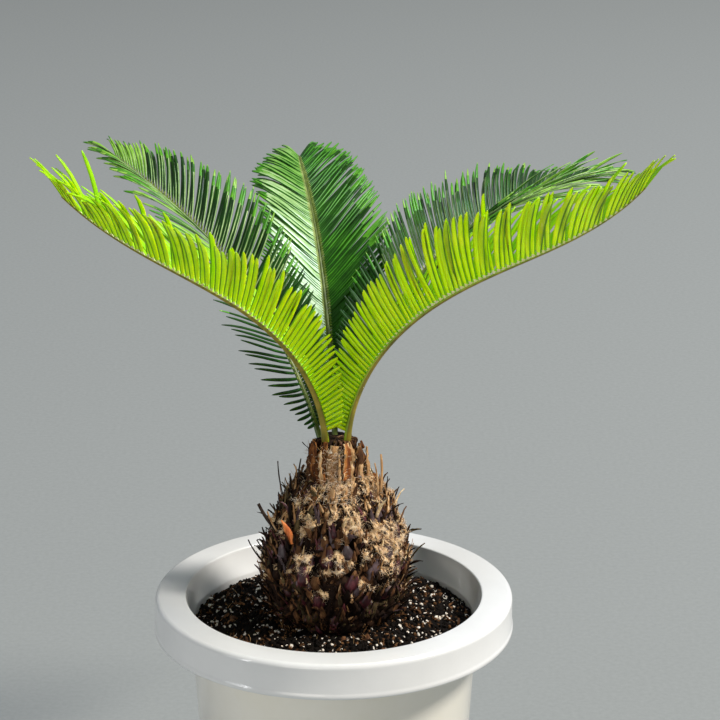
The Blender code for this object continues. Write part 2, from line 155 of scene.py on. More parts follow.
# foot: place on the crown. heading: compass of the rib, and turn: how far it swings by the tip.
# lean: the rib's angle from vertical at four Bezier controls. rows: the left row of leaflets
# and the right one. lift: how far a row rises out of the frond's plane. sweep: the angle its
# leaflets make with the rib. leaf: the longest leaflet. full: share of the rib by which
# leaflets reach it. end: the last leaflet's share of it. droop: how far the tips sag. lap: a
# leaflet's width as a multiple of the room it has, near the foot and beyond. Some rows have
# more: stir, how much their outer leaflets are tangled; loose, the shares of the rib between
# which some stand free; bright, the share from which whole leaflets take a lighter, lit green,
# painted light; sheen_shares, the share up to which a lit row takes a whitish painted sheen,
# and the one from which it is a clearer green.
FRONDS = {
    "frond_front_left": dict(
        foot=(-0.006, -0.010), heading=216, turn=13, lean=(6, 66, 66, 46), length=0.343,
        rows=(dict(lift=(42, 40, 54), sweep=(68, 66, 51, 34, 20, 12), leaf=0.0765, full=0.41,
                   end=0.46, droop=0.34, leaflets=70, lap=(1.12, 1.24)),
              dict(lift=(42, 43, 52), sweep=(72, 66, 52, 40, 34, 22), leaf=0.0700, full=0.41,
                   end=0.56, droop=0.26, leaflets=70, lap=(1.12, 1.24), loose=(0.84, 0.91))),
        young=True),
    "frond_front_right": dict(
        foot=(0.011, -0.006), heading=333, turn=-18, lean=(7, 62, 78, 43), length=0.358,
        rows=(dict(lift=(42, 44, 48), sweep=(74, 68, 60, 44, 32, 16), leaf=0.0710, full=0.41,
                   end=0.50, droop=0.26, leaflets=80, lap=(1.12, 1.24)),
              dict(lift=(52, 52, 36), sweep=(72, 68, 64, 47, 30, 14), leaf=0.0775, full=0.42,
                   end=0.52, droop=0.20, leaflets=80, lap=(1.12, 1.24))),
        young=True),
    "frond_back_left": dict(
        foot=(-0.012, 0.003), heading=135, turn=-11, lean=(24, 53, 78, 79), length=0.334,
        rows=(dict(lift=(22, 28, 30), sweep=(108, 89, 60, 24, 18, 13), leaf=0.0610, full=0.15,
                   end=0.70, droop=0.30, leaflets=64, lap=(0.72, 1.9), stir=14, bright=0.42),
              dict(lift=(46, 38, 31), sweep=(88, 74, 58, 38, 28, 18), leaf=0.0713, full=0.44,
                   end=0.51, droop=0.32, leaflets=94, lap=(1.2, 1.3), bright=0.84)),
        young=False),
    "frond_back_centre": dict(
        foot=(0.001, 0.008), heading=97, turn=0, lean=(20, 56, 82, 82), length=0.324,
        rows=(dict(lift=(7, 11, 10), sweep=(62, 48, 40, 42, 32, 18), leaf=0.0720, full=0.28,
                   end=0.56, droop=0.30, leaflets=116, lap=(2.4, 2.6), bright=0.10,
                   sheen_shares=(0.44, 0.70)),
              dict(lift=(22, 27, 13), sweep=(60, 55, 51, 40, 36, 23), leaf=0.0777, full=0.28,
                   end=0.56, droop=0.26, leaflets=116, lap=(2.0, 2.0))),
        young=False),
    "frond_back_right": dict(
        foot=(0.012, 0.0045), heading=45, turn=0, lean=(12, 57, 89, 88), length=0.355,
        rows=(dict(lift=(46, 30, 10), sweep=(84, 71, 58, 45, 30, 16), leaf=0.0717, full=0.42,
                   end=0.45, droop=0.32, leaflets=116, lap=(1.2, 1.2)),
              dict(lift=(30, 32, 8), sweep=(30, 34, 52, 28, 22, 14), leaf=0.0730, full=0.34,
                   end=0.60, droop=0.18, leaflets=112, lap=(1.6, 2.4), stir=42, bright=0.50)),
        young=False),
}
# stations along a leaflet, and the share of its full width that it has at each
STATIONS = np.array((0.0, 0.055, 0.12, 0.30, 0.50, 0.68, 0.85, 0.96, 1.0))
BLUNT = np.array((0.50, 0.56, 0.88, 1.0, 1.0, 0.97, 0.86, 0.58, 0.18))
POINTED = np.array((0.46, 0.60, 0.88, 1.0, 1.0, 0.92, 0.70, 0.38, 0.06))
# a leaflet's cross-section: half widths across, thicknesses up. The margins roll under.
SECTION = np.array(((-1.0, -0.6), (-0.55, 0.5), (0.0, 0.3), (0.55, 0.5), (1.0, -0.6),
                    (0.5, -0.5), (0.0, -1.1), (-0.5, -0.5)))
UPPER_FACES = 4  # the first faces round a section are its upper side
LEAF_KEEL = 0.12  # how far a leaflet's margins bend down, as a share of its width
# numbers of the leaflets' finishes
UPPER, UNDER, CALLUS, UNDER_DEEP, OUTER, TIP, EDGE_HIGHLIGHT, BRIGHT, OUTER_DEEP, PAINTED_SHEEN, FAR = range(11)
RIB_SIDES = 14
RIB_CHANNEL = 0.72  # a rib's height above its middle, as a share of its radius

# The finishes
DRY = 0.7  # finishes this rough have hardly any sheen
DRY_SHEEN = 0.15
FIRST_TINT = 0.32  # where the noise's middle values start, and how far they reach
TINT_SPAN = 0.36
GRAIN = 2.6  # how much finer the relief's noise is than the tints' patches
PLASTIC = {"IOR": 1.49, "Coat Weight": 0.4, "Coat Roughness": 0.06}
WAXED = {"Specular IOR Level": 0.6, "Coat Weight": 1.0, "Coat Roughness": 0.2}

# The camera
LENS_MM = 126.9
CAMERA_PLACE = (0.02057, -1.83969, 1.02457)
CAMERA_TILT = 72.095

UPWARD = np.array((0.0, 0.0, 1.0))


# ---------------------------------------------------------------- small tools
def srgb(code):
    """A hex colour as linear red, green and blue, with alpha."""
    parts = [int(code[i:i + 2], 16) / 255 for i in (0, 2, 4)]
    linear = [p / 12.92 if p <= 0.04045 else ((p + 0.055) / 1.055) ** 2.4 for p in parts]
    return (*linear, 1.0)


def add(tree, kind, settings=None, inputs=None):
    """Add a node with its settings and its inputs, each a value or a socket to link."""
    made = tree.nodes.new(kind)
    for name, value in (settings or {}).items():
        setattr(made, name, value)
    for name, value in (inputs or {}).items():
        if isinstance(value, bpy.types.NodeSocket):
            tree.links.new(value, made.inputs[name])
        else:
            made.inputs[name].default_value = value
    return made


def finish_of(name, tints, patch_mm, roughness, relief_mm=0.0, fibre=1.0, values=None):
    """A material whose tints blend in patches of that size, with its relief from finer noise.
    A fibre below 1 draws both out up and down. It is made once, and given again to whatever
    else has the same finish."""
    made = bpy.data.materials.get(name)
    if made:
        return made
    made = bpy.data.materials.new(name)
    made.use_nodes = True
    tree = made.node_tree
    shader = tree.nodes["Principled BSDF"]
    place = add(tree, "ShaderNodeTexCoord")
    stretched = add(tree, "ShaderNodeMapping", None,
                    {"Vector": place.outputs["Object"], "Scale": (1, 1, fibre)})
    patches = add(tree, "ShaderNodeTexNoise", None,
                  {"Vector": stretched.outputs["Vector"], "Scale": 1000 / patch_mm,
                   "Detail": 5.0, "Roughness": 0.62})
    ramp = add(tree, "ShaderNodeValToRGB", None, {"Fac": patches.outputs["Fac"]})
    stops = ramp.color_ramp.elements
    for i, tint in enumerate(tints):
        where = FIRST_TINT + TINT_SPAN * i / (len(tints) - 1)
        stop = stops[i] if i < 2 else stops.new(where)
        stop.position = where
        stop.color = srgb(tint)
    tree.links.new(ramp.outputs["Color"], shader.inputs["Base Color"])
    shader.inputs["Roughness"].default_value = roughness
    if roughness >= DRY:
        shader.inputs["Specular IOR Level"].default_value = DRY_SHEEN
    for socket, value in (values or {}).items():
        shader.inputs[socket].default_value = value
    if relief_mm:
        grain = add(tree, "ShaderNodeTexNoise", None,
                    {"Vector": stretched.outputs["Vector"], "Scale": GRAIN * 1000 / patch_mm,
                     "Detail": 4.0})
        raised = add(tree, "ShaderNodeBump", None,
                     {"Height": grain.outputs["Fac"], "Distance": relief_mm / 1000,
                      "Strength": 0.8})
        tree.links.new(raised.outputs["Normal"], shader.inputs["Normal"])
    return made


def loft(rings):
    """Corners and faces of a closed skin over rings of points, fanned over at both ends."""
    rows, around = rings.shape[:2]
    points = np.vstack([rings.reshape(-1, 3), rings[0].mean(0), rings[-1].mean(0)])
    index = np.arange(rows * around).reshape(rows, around)
    low, high = index[:-1], index[1:]
    quads = np.stack([low, np.roll(low, -1, 1), np.roll(high, -1, 1), high], axis=-1)
    quads = quads.reshape(-1, 4)
    corner = points[quads]
    volume = sum(np.einsum("ij,ij->i", corner[:, 0], np.cross(corner[:, i], corner[:, i + 1])).sum()
                 for i in (1, 2))
    ends = []
    for ring, pole, turn in ((index[0], rows * around, -1), (index[-1], rows * around + 1, 1)):
        fan = np.stack([ring, np.roll(ring, -1), np.full(around, pole)], axis=-1)
        ends.append(fan[:, ::turn])
        corner = points[ends[-1]]
        volume += np.einsum("ij,ij->i", corner[:, 0], np.cross(corner[:, 1], corner[:, 2])).sum()
    if volume < 0:
        quads = quads[:, ::-1]
        ends = [fan[:, ::-1] for fan in ends]
    return points, quads.tolist(), ends[0].tolist(), ends[1].tolist()


class Heap:
    """Shapes gathered to become one mesh, each face with the number of its finish."""

    def __init__(self):
        self.points, self.faces, self.slots = [], [], []
        self.count = 0

    def take(self, points, faces, slots):
        self.points.append(points)
        self.faces += [[corner + self.count for corner in face] for face in faces]
        self.slots += slots
        self.count += len(points)

    def take_loft(self, rings, slots):
        """slots is one number, or a number for each face between rings."""
        points, quads, start, stop = loft(rings)
        if np.ndim(slots) == 0:
            slots = np.full((rings.shape[0] - 1, rings.shape[1]), slots)
        slots = np.asarray(slots)
        faces = quads + start + stop
        numbers = [*slots.ravel().tolist(), *slots[0].tolist(), *slots[-1].tolist()]
        self.take(points, faces, numbers)

    def piece(self, name, finishes):
        mesh = bpy.data.meshes.new(name)
        mesh.from_pydata(np.vstack(self.points).tolist(), [], self.faces)
        mesh.polygons.foreach_set("material_index", self.slots)
        return show(name, mesh, finishes)


def show(name, mesh, finishes, sharp=None):
    """Put a mesh in the scene as a smooth-shaded object, creased past the sharp angle."""
    for made in finishes:
        mesh.materials.append(made)
    mesh.shade_smooth()
    if sharp:
        mesh.set_sharp_from_angle(angle=radians(sharp))
    thing = bpy.data.objects.new(name, mesh)
    bpy.context.scene.collection.objects.link(thing)
    return thing


def dress(thing, slot, *nodes):
    """The piece moves with the plant and stands for nodes. The slot is not used."""
    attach(thing, "root")
    if nodes:
        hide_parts(*nodes)
    return thing


def bake(thing, name):
    """A plain mesh of the object with its modifiers applied."""
    bpy.context.view_layer.update()
    graph = bpy.context.evaluated_depsgraph_get()
    mesh = bpy.data.meshes.new_from_object(thing.evaluated_get(graph))
    mesh.name = name
    return mesh


def drop(thing):
    """Remove an object with its mesh."""
    data = thing.data
    bpy.data.objects.remove(thing, do_unlink=True)
    if data.users == 0:
        bpy.data.meshes.remove(data)


def unit(vectors):
    return vectors / np.linalg.norm(vectors, axis=-1, keepdims=True)


def clamp(value):
    """The value, kept between 0 and 1."""
    return min(1.0, max(0.0, value))


def ways_round(angle):
    """The ways outward and sideways at an angle round the plant."""
    return np.array((cos(angle), sin(angle), 0.0)), np.array((-sin(angle), cos(angle), 0.0))


def rough(point, size, seed=0.0):
    """Smooth noise about zero, with features of that size in metres."""
    return noise.noise(Vector(point) / size + Vector((seed, seed * 1.7, -seed)))


def rings_along(spine, side, up, wide, high):
    """Rings of points about a spine, each point that far to its side and that far up."""
    return spine[:, None] + side[:, None] * wide[..., None] + up[:, None] * high[..., None]


def blade(spine, across, upper, widths, thick, section, crown):
    """Rings of a thin form along a spine. crown bends its edges down, as a share of its width."""
    x, y = section[:, 0], section[:, 1]
    wide = x * widths[:, None]
    high = y * np.broadcast_to(thick, len(spine))[:, None] - crown * x * x * widths[:, None]
    return rings_along(spine, across, upper, wide, high)


# ---------------------------------------------------------------- scattering
def scatter_tree():
    """Stands picked shapes on a surface. The surface's cover attribute thins them, and its
    grow attribute is the way they point."""
    tree = bpy.data.node_groups.new("scatter_on_surface", "GeometryNodeTree")
    sockets = tree.interface
    sockets.new_socket("Geometry", in_out="INPUT", socket_type="NodeSocketGeometry")
    for name, kind in (("Shapes", "Collection"), ("Finish", "Material"), ("Density", "Float"),
                       ("Smallest", "Float"), ("Largest", "Float"), ("Lean", "Float"),
                       ("Seed", "Int")):
        sockets.new_socket(name, in_out="INPUT", socket_type="NodeSocket" + kind)
    sockets.new_socket("Geometry", in_out="OUTPUT", socket_type="NodeSocketGeometry")
    given = add(tree, "NodeGroupInput").outputs
    cover = add(tree, "GeometryNodeInputNamedAttribute", {"data_type": "FLOAT"},
                {"Name": "cover"})
    grow = add(tree, "GeometryNodeInputNamedAttribute", {"data_type": "FLOAT_VECTOR"},
               {"Name": "grow"})
    density = add(tree, "ShaderNodeMath", {"operation": "MULTIPLY"},
                  {0: given["Density"], 1: cover.outputs["Attribute"]})
    points = add(tree, "GeometryNodeDistributePointsOnFaces", None,
                 {"Mesh": given["Geometry"], "Density": density.outputs["Value"],
                  "Seed": given["Seed"]})
    stand = add(tree, "FunctionNodeAlignRotationToVector", {"axis": "Z"},
                {"Vector": grow.outputs["Attribute"]})
    back = add(tree, "ShaderNodeMath", {"operation": "MULTIPLY"}, {0: given["Lean"], 1: -1.0})
    most = add(tree, "ShaderNodeCombineXYZ", None,
               {"X": given["Lean"], "Y": given["Lean"], "Z": pi})
    least = add(tree, "ShaderNodeCombineXYZ", None,
                {"X": back.outputs["Value"], "Y": back.outputs["Value"], "Z": -pi})
    lean = add(tree, "FunctionNodeRandomValue", {"data_type": "FLOAT_VECTOR"},
               {0: least.outputs["Vector"], 1: most.outputs["Vector"], "Seed": given["Seed"]})
    turn = add(tree, "FunctionNodeRotateRotation", {"rotation_space": "LOCAL"},
               {"Rotation": stand.outputs["Rotation"], "Rotate By": lean.outputs[0]})
    size = add(tree, "FunctionNodeRandomValue", {"data_type": "FLOAT"},
               {2: given["Smallest"], 3: given["Largest"], "Seed": given["Seed"]})
    shapes = add(tree, "GeometryNodeCollectionInfo", None,
                 {"Collection": given["Shapes"], "Separate Children": True,
                  "Reset Children": True})
    placed = add(tree, "GeometryNodeInstanceOnPoints", None,
                 {"Points": points.outputs["Points"], "Instance": shapes.outputs["Instances"],
                  "Pick Instance": True, "Rotation": turn.outputs["Rotation"],
                  "Scale": size.outputs[1]})
    real = add(tree, "GeometryNodeRealizeInstances", None,
               {"Geometry": placed.outputs["Instances"]})
    painted = add(tree, "GeometryNodeSetMaterial", None,
                  {"Geometry": real.outputs["Geometry"], "Material": given["Finish"]})
    add(tree, "NodeGroupOutput", None, {"Geometry": painted.outputs["Geometry"]})
    return tree


def scatter(name, ground, shapes, finish, density, smallest, largest, lean, seed):
    """A piece made of shapes scattered over the ground object, density per square metre."""
    tree = bpy.data.node_groups.get("scatter_on_surface") or scatter_tree()
    spread = ground.modifiers.new("scatter", "NODES")
    spread.node_group = tree
    given = {"Shapes": shapes, "Finish": finish, "Density": density, "Smallest": smallest,
             "Largest": largest, "Lean": lean, "Seed": seed}
    for item in tree.interface.items_tree:
        if item.in_out == "INPUT" and item.name in given:
            spread[item.identifier] = given[item.name]
    mesh = bake(ground, name)
    ground.modifiers.remove(spread)
    mesh.materials.clear()
    return show(name, mesh, [finish])


def set_spread(thing, cover, grow):
    """Store how thickly and which way things grow from each corner of an object's mesh."""
    mesh = thing.data
    mesh.attributes.new("cover", "FLOAT", "POINT").data.foreach_set(
        "value", np.asarray(cover, np.float32))
    mesh.attributes.new("grow", "FLOAT_VECTOR", "POINT").data.foreach_set(
        "vector", np.asarray(grow, np.float32).ravel())


def clear_spread(thing):
    """Take the two attributes off again."""
    for name in ("cover", "grow"):
        thing.data.attributes.remove(thing.data.attributes[name])


def shapes_of(name, meshes):
    """A collection of loose shapes to scatter."""
    group = bpy.data.collections.new(name)
    bpy.context.scene.collection.children.link(group)
    for i, mesh in enumerate(meshes):
        group.objects.link(bpy.data.objects.new(f"{name}_{i}", mesh))
    return group


def drop_shapes(group):
    for thing in list(group.objects):
        drop(thing)
    bpy.data.collections.remove(group)


def lump(name, seed, subdivisions, unevenness, stretch):
    """A rough grain of unit size."""
    bm = bmesh.new()
    bmesh.ops.create_icosphere(bm, subdivisions=subdivisions, radius=0.5)
    for vert in bm.verts:
        vert.co *= 1 + unevenness * rough(vert.co, 0.35, seed)
        vert.co = Vector(a * b for a, b in zip(vert.co, stretch))
    mesh = bpy.data.meshes.new(name)
    bm.to_mesh(mesh)
    bm.free()
    return mesh


def lumps_of(name, seed, subdivisions, unevenness, stretches):
    """Grains to scatter, one for each stretch."""
    return shapes_of(name, [lump(f"{name}_{i}", seed + i, subdivisions, unevenness, stretch)
                            for i, stretch in enumerate(stretches)])


def strand(name, seed, curl, thick):
    """A bent fibre of unit length that stands up +Z, with three sides."""
    rng = np.random.default_rng(seed)
    place, heading = np.zeros(3), UPWARD
    bend = rng.normal(0, curl, 3)
    spine = [place]
    for _ in range(4):
        heading = unit(heading + bend + rng.normal(0, curl * 0.6, 3))
        place = place + heading / 4
        spine.append(place)
    spine = np.array(spine)
    taper = np.array((1.0, 0.95, 0.8, 0.55, 0.12)) * thick / 2
    angles = np.arange(3) * 2 * pi / 3
    run = unit(np.gradient(spine, axis=0))
    side = unit(np.cross(run, (0.3, 0.9, 0.2)))
    rings = rings_along(spine, side, np.cross(side, run), np.cos(angles) * taper[:, None],
                        np.sin(angles) * taper[:, None])
    heap = Heap()
    heap.take_loft(rings, 0)
    mesh = bpy.data.meshes.new(name)
    mesh.from_pydata(np.vstack(heap.points).tolist(), [], heap.faces)
    return mesh


def strands_of(name, seed, curl, thick, count):
    """Fibres to scatter, no two alike."""
    return shapes_of(name, [strand(f"{name}_{i}", seed + i, curl, thick) for i in range(count)])


# ---------------------------------------------------------------- finishes
def moulded_polypropylene():
    """White polypropylene, injection moulded: a smooth gloss, coolly white."""
    return finish_of("moulded_polypropylene", ("e0e2e3", "e7e9ea"), 60, 0.20, values=PLASTIC)


def glow_painted_wall():
    """The same plastic in the pot's thinner wall, tinted a lighter cream: painted light, for the light
    that passes through it.
    """
    return finish_of("moulded_polypropylene_painted_glow", ("efece0", "f4f2ea"), 60, 0.20, values=PLASTIC)


def damp_peat():
    """Damp peat: near black, matt, broken into crumbs."""
    return finish_of("damp_peat", ("050302", "0b0705", "140d09"), 3.0, 0.9, 0.6)


def dark_crumb():
    """Peat crumbs: black-brown with a dull edge."""
    return finish_of("dark_peat_crumb", ("050302", "0d0805", "1a110b"), 2.0, 0.9, 0.3)


def brown_crumb():
    """Composted bark crumbs: mid brown, dry."""
    return finish_of("brown_bark_crumb", ("24150c", "4a3019", "86603f"), 1.6, 0.85, 0.3)


def perlite():
    """Expanded perlite: chalk-white popped glass, stained cream by the peat."""
    return finish_of("expanded_perlite", ("b59c7c", "ebe3d6", "ffffff"), 1.0, 0.75, 0.25)


def coir():
    """Dry coir and bark shreds: straw to light brown."""
    return finish_of("dry_coir_shred", ("7c5636", "b08858", "d3b183"), 4.0, 0.8)


def crevice_shade_bark():
    """The caudex between its leaf bases: black-brown, fibrous, near black as painted shade in its
    crevices and holes.
    """
    return finish_of("caudex_crevice_painted_shade", ("100906", "20130c", "352214"), 5.0, 0.85, 0.8, fibre=0.3)


def maroon_scale():
    """A fresh leaf-base face: smooth, waxy, wine red."""
    return finish_of("maroon_leaf_base", ("1e0a0d", "40171e", "70363e"), 5.0, 0.42, 0.3, fibre=0.4)


def purple_scale():
    """An older leaf-base face: bloomed, purple-grey."""
    return finish_of("purple_leaf_base", ("241a1c", "48383c", "745e62"), 5.0, 0.5, 0.3, fibre=0.4)


def brown_scale():
    """A dead leaf base: brown, fibrous, with paler ribs."""
    return finish_of("brown_leaf_base", ("2b1a10", "5a3b24", "8c6642"), 4.0, 0.75, 0.4, fibre=0.25)


def olive_scale():
    """A weathered leaf base: dull olive-brown."""
    return finish_of("olive_leaf_base", ("1f1a10", "443823", "6e5d3c"), 4.0, 0.8, 0.4, fibre=0.25)


def tan_scale():
    """A dry papery leaf base: straw tan, edges bleached."""
    return finish_of("tan_leaf_base", ("7a5434", "b68c5f", "dcbd94"), 4.0, 0.75, 0.4, fibre=0.25)


def orange_scale():
    """A newly split scale: bright orange inner flesh."""
    return finish_of("orange_split_scale", ("b5541c", "e8803a", "f7a862"), 5.0, 0.6, 0.2, fibre=0.3)


def cream_felt():
    """Matted cycad wool pressed on the bark: cream to straw, in fine clots."""
    return finish_of("matted_cycad_felt", ("a88458", "e2c494", "fcecd0"), 2.2, 0.88, 0.5)


def cream_wool():
    """Cycad wool, the felt between leaf bases: cream."""
    return finish_of("cream_cycad_wool", ("ecccac", "fce8cc", "fffaf0"), 9.0, 0.85)


def straw_wool():
    """Cycad wool, the felt between leaf bases: straw."""
    return finish_of("straw_cycad_wool", ("d6a87c", "f0cca4", "fce4c8"), 9.0, 0.85)


def tan_wool():
    """Cycad wool, browned: tan."""
    return finish_of("tan_cycad_wool", ("7a5432", "b88a56", "d8b384"), 9.0, 0.85)


def brown_wool():
    """Old cycad wool, dark with damp; it grows mostly on the shaded side, so its darkness is partly
    painted shade.
    """
    return finish_of("brown_cycad_wool", ("20150d", "3d2a1a", "5f452c"), 9.0, 0.88)


def dark_spine():
    """Dead spines: grey-black, dry."""
    return finish_of("dead_spine", ("17120f", "2b221c", "4a3c32"), 6.0, 0.7, 0.1)


def young_rib():
    """A young frond's rachis from below: waxy, olive turning tan."""
    return finish_of("young_rachis", ("6e6a12", "8a7e1c", "a8942c"), 14.0, 0.42, 0.05)


def young_rib_top():
    """The upper side of a young rachis: clear yellow-green."""
    return finish_of("young_rachis_upper", ("7c9a14", "93ac1e", "aac030"), 14.0, 0.42, 0.05)


def old_rib():
    """A mature frond's rachis from below: dark green, waxy."""
    return finish_of("mature_rachis", ("2c4a10", "3c5c18", "4e7022"), 14.0, 0.40, 0.05)


def old_rib_top():
    """The upper side of a mature rachis: olive, its groove worn smooth."""
    return finish_of("mature_rachis_upper", ("3c4c10", "546420", "727e36"), 10.0, 0.45, 0.05)


def living_leaf(name, tints, roughness, glow):
    """Leaf tissue, cut thin enough for some light to pass: glow is how much."""
    return finish_of(name, tints, 18.0, roughness,
                     values={"Subsurface Weight": glow, "Subsurface Radius": (1.0, 1.0, 0.12),
                             "Subsurface Scale": 0.002, "Specular IOR Level": 0.35})


def young_upper():
    """The upper side of a young leaflet: fresh green with a soft gloss."""
    return living_leaf("young_leaflet_upper", ("80c000", "98d800", "aee60a"), 0.36, 0.6)


def young_under():
    """The underside of a young leaflet, with light through it: bright yellow-green."""
    return living_leaf("young_leaflet_under", ("b8ec00", "c4f600", "d4ff1c"), 0.42, 0.95)


def young_under_deep():
    """The underside of a leaflet that its neighbour shades: a deeper yellow-green."""
    return living_leaf("young_leaflet_under_deep", ("5c9400", "6ca800", "7cb800"), 0.45, 0.4)


def young_base():
    """The callus where a young leaflet joins its rachis: waxy pale yellow."""
    return finish_of("young_leaflet_callus", ("f0f090", "f8f8b4", "fffdd8"), 12.0, 0.4)


def dark_upper():
    """The upper side of a mature leaflet: leathery dark green with a hard shine."""
    return finish_of("mature_leaflet_upper", ("0c2c04", "133e06", "1e540a"), 24.0, 0.40,
                     values={"Specular IOR Level": 0.4})


def dark_under():
    """The underside of a mature leaflet in its own shade: blackish green, matt."""
    return finish_of("mature_leaflet_under", ("061a02", "0b2604", "123406"), 24.0, 0.6,
                     values={"Specular IOR Level": 0.3})


def dark_middle():
    """The outer third of a mature leaflet: the green lightens, partly painted light through the thinner
    leaf.
    """
    return finish_of("mature_leaflet_outer", ("2f7408", "448e0e", "5ea618"), 20.0, 0.38)


def dark_tip():
    """The tip of a mature leaflet, lit through as painted light, and whole ones where the light comes
    through: yellow-green.
    """
    return finish_of("mature_leaflet_tip", ("68a020", "82b838", "9ecc58"), 16.0, 0.36)


def margin_highlight():
    """The rolled margin of a mature leaflet: thin and pale grey-green, a painted highlight where the
    margin catches the light.
    """
    return finish_of("mature_leaflet_margin_painted_highlight", ("567c40", "82a45e", "aac486"), 20.0, 0.36)


def lit_upper():
    """The upper side of the standing frond's leaflets on the row that faces the light: pale green under a
    coat of wax, lightened as painted light.
    """
    return finish_of("mid_leaflet_upper", ("84b45c", "a2cc7c", "c2e2a6"), 24.0, 0.26, values=WAXED)


def painted_sheen_upper():
    """The same near the frond's foot: a whitish green, the light's sheen on its wax painted in."""
    return finish_of("mid_leaflet_painted_sheen", ("9cc48c", "b6d8a8", "d6eccc"), 24.0, 0.26, values=WAXED)


def green_upper():
    """The same near the frond's tip: a clearer green."""
    return finish_of("mid_leaflet_far", ("62a42c", "80ba46", "a2d272"), 24.0, 0.30,
                     values={"Specular IOR Level": 0.5, "Coat Weight": 1.0,
                             "Coat Roughness": 0.25})


def shaded_upper():
    """The same on the row that turns away from the light: deep green, duller."""
    return finish_of("mid_leaflet_upper_deep", ("103402", "1a4602", "286004"), 24.0, 0.5,
                     values={"Specular IOR Level": 0.22})


def mid_edge_highlight():
    """The same along one edge of each leaflet: mid green, a painted highlight on the shaded row and a
    darker line on the lit one.
    """
    return finish_of("mid_leaflet_edge_painted_highlight", ("22600a", "347a14", "4c9422"), 24.0, 0.42,
                     values={"Specular IOR Level": 0.4})


def old_base():
    """The callus where a mature leaflet joins its rachis: olive."""
    return finish_of("mature_leaflet_callus", ("5c7020", "788c38", "9caa60"), 12.0, 0.5)


def stub_face():
    """A cut frond base: orange-brown, fibrous."""
    return finish_of("cut_frond_base", ("1c0d06", "683a18", "c88c50"), 5.0, 0.7, 0.4, fibre=0.2)


def hollow_stub():
    """The hollow of a freshly cut frond base: bright orange-brown flesh."""
    return finish_of("hollow_frond_base", ("3c1a06", "944f1a", "dc9c50"), 5.0, 0.6, 0.3, fibre=0.2)


def stub_edge():
    """The papery margin of a cut frond base: bleached straw."""
    return finish_of("bleached_frond_base_edge", ("805836", "c8a070", "f0d8b0"), 5.0, 0.75, 0.2,
                     fibre=0.3)


# ---------------------------------------------------------------- the pot
def quarter_round(centre, radius, start, end, steps):
    """Points of a round corner in the outline, between two angles in degrees."""
    angles = [radians(start + (end - start) * i / steps) for i in range(steps + 1)]
    return [(centre[0] + radius * cos(a), centre[1] + radius * sin(a)) for a in angles]


def inner_radius(height):
    """The pot's inside radius at a height."""
    neck = POT_HEIGHT - MOUTH_DEPTH
    if height > neck:
        return NECK_RADIUS + (MOUTH_RADIUS - NECK_RADIUS) * (height - neck) / MOUTH_DEPTH
    return FOOT_RADIUS - WALL + (NECK_RADIUS - FOOT_RADIUS + WALL) * height / neck


def pot_outline():
    """From the middle of the floor up the inside, over the rim and down to the underside. The
    corners that have no round of their own are eased by a fraction of a millimetre."""
    skirt_foot = POT_HEIGHT - SKIRT_DROP
    under_rim = POT_HEIGHT - RIM_THICK
    neck = POT_HEIGHT - MOUTH_DEPTH
    mouth_centre = (MOUTH_RADIUS + MOUTH_ROUND, POT_HEIGHT - MOUTH_ROUND)
    rim_centre = (RIM_RADIUS - RIM_ROUND, POT_HEIGHT - RIM_ROUND)
    foot_centre = (FOOT_RADIUS - FOOT_ROUND, FOOT_ROUND)
    outline = [(0.0, FLOOR), (inner_radius(FLOOR) - 0.002, FLOOR),
               (inner_radius(FLOOR), FLOOR + 0.002), (NECK_RADIUS - 0.0006, neck - 0.0016),
               (NECK_RADIUS - 0.0002, neck), (NECK_RADIUS + 0.0008, neck + 0.0012)]
    outline += quarter_round(mouth_centre, MOUTH_ROUND, 180, 90, 6)
    outline += quarter_round(rim_centre, RIM_ROUND, 90, 0, 10)
    outline += [(RIM_RADIUS, skirt_foot + LIP_HEIGHT + 0.002)]
    outline += [(RIM_RADIUS + LIP * 0.5, skirt_foot + LIP_HEIGHT + 0.0006),
                (RIM_RADIUS + LIP, skirt_foot + LIP_HEIGHT - 0.0004),
                (RIM_RADIUS + LIP, skirt_foot + 0.0006), (RIM_RADIUS + LIP * 0.5, skirt_foot),
                (RIM_RADIUS - WALL + 0.0004, skirt_foot),
                (RIM_RADIUS - WALL, skirt_foot + 0.0006), (RIM_RADIUS - WALL, under_rim),
                (MOUTH_RADIUS + WALL, under_rim), (NECK_RADIUS + WALL, neck)]
    outline += quarter_round(foot_centre, FOOT_ROUND, 0, -90, 6)
    outline += [(0.0, 0.0)]
    return outline


def drain_cutters():
    """Plugs that cut the drain holes out of the floor."""
    holes = shapes_of("drain_cutter", [])
    for i in range(DRAIN_HOLES):
        angle = 2 * pi * i / DRAIN_HOLES + pi / POT_STEPS
        bm = bmesh.new()
        bmesh.ops.create_cone(bm, cap_ends=True, segments=32, radius1=DRAIN_RADIUS,
                              radius2=DRAIN_RADIUS, depth=FLOOR * 4)
        bmesh.ops.translate(bm, verts=bm.verts,
                            vec=(DRAIN_CIRCLE * cos(angle), DRAIN_CIRCLE * sin(angle), 0))
        cutter = bpy.data.meshes.new("drain_cutter")
        bm.to_mesh(cutter)
        bm.free()
        holes.objects.link(bpy.data.objects.new("drain_cutter", cutter))
    return holes


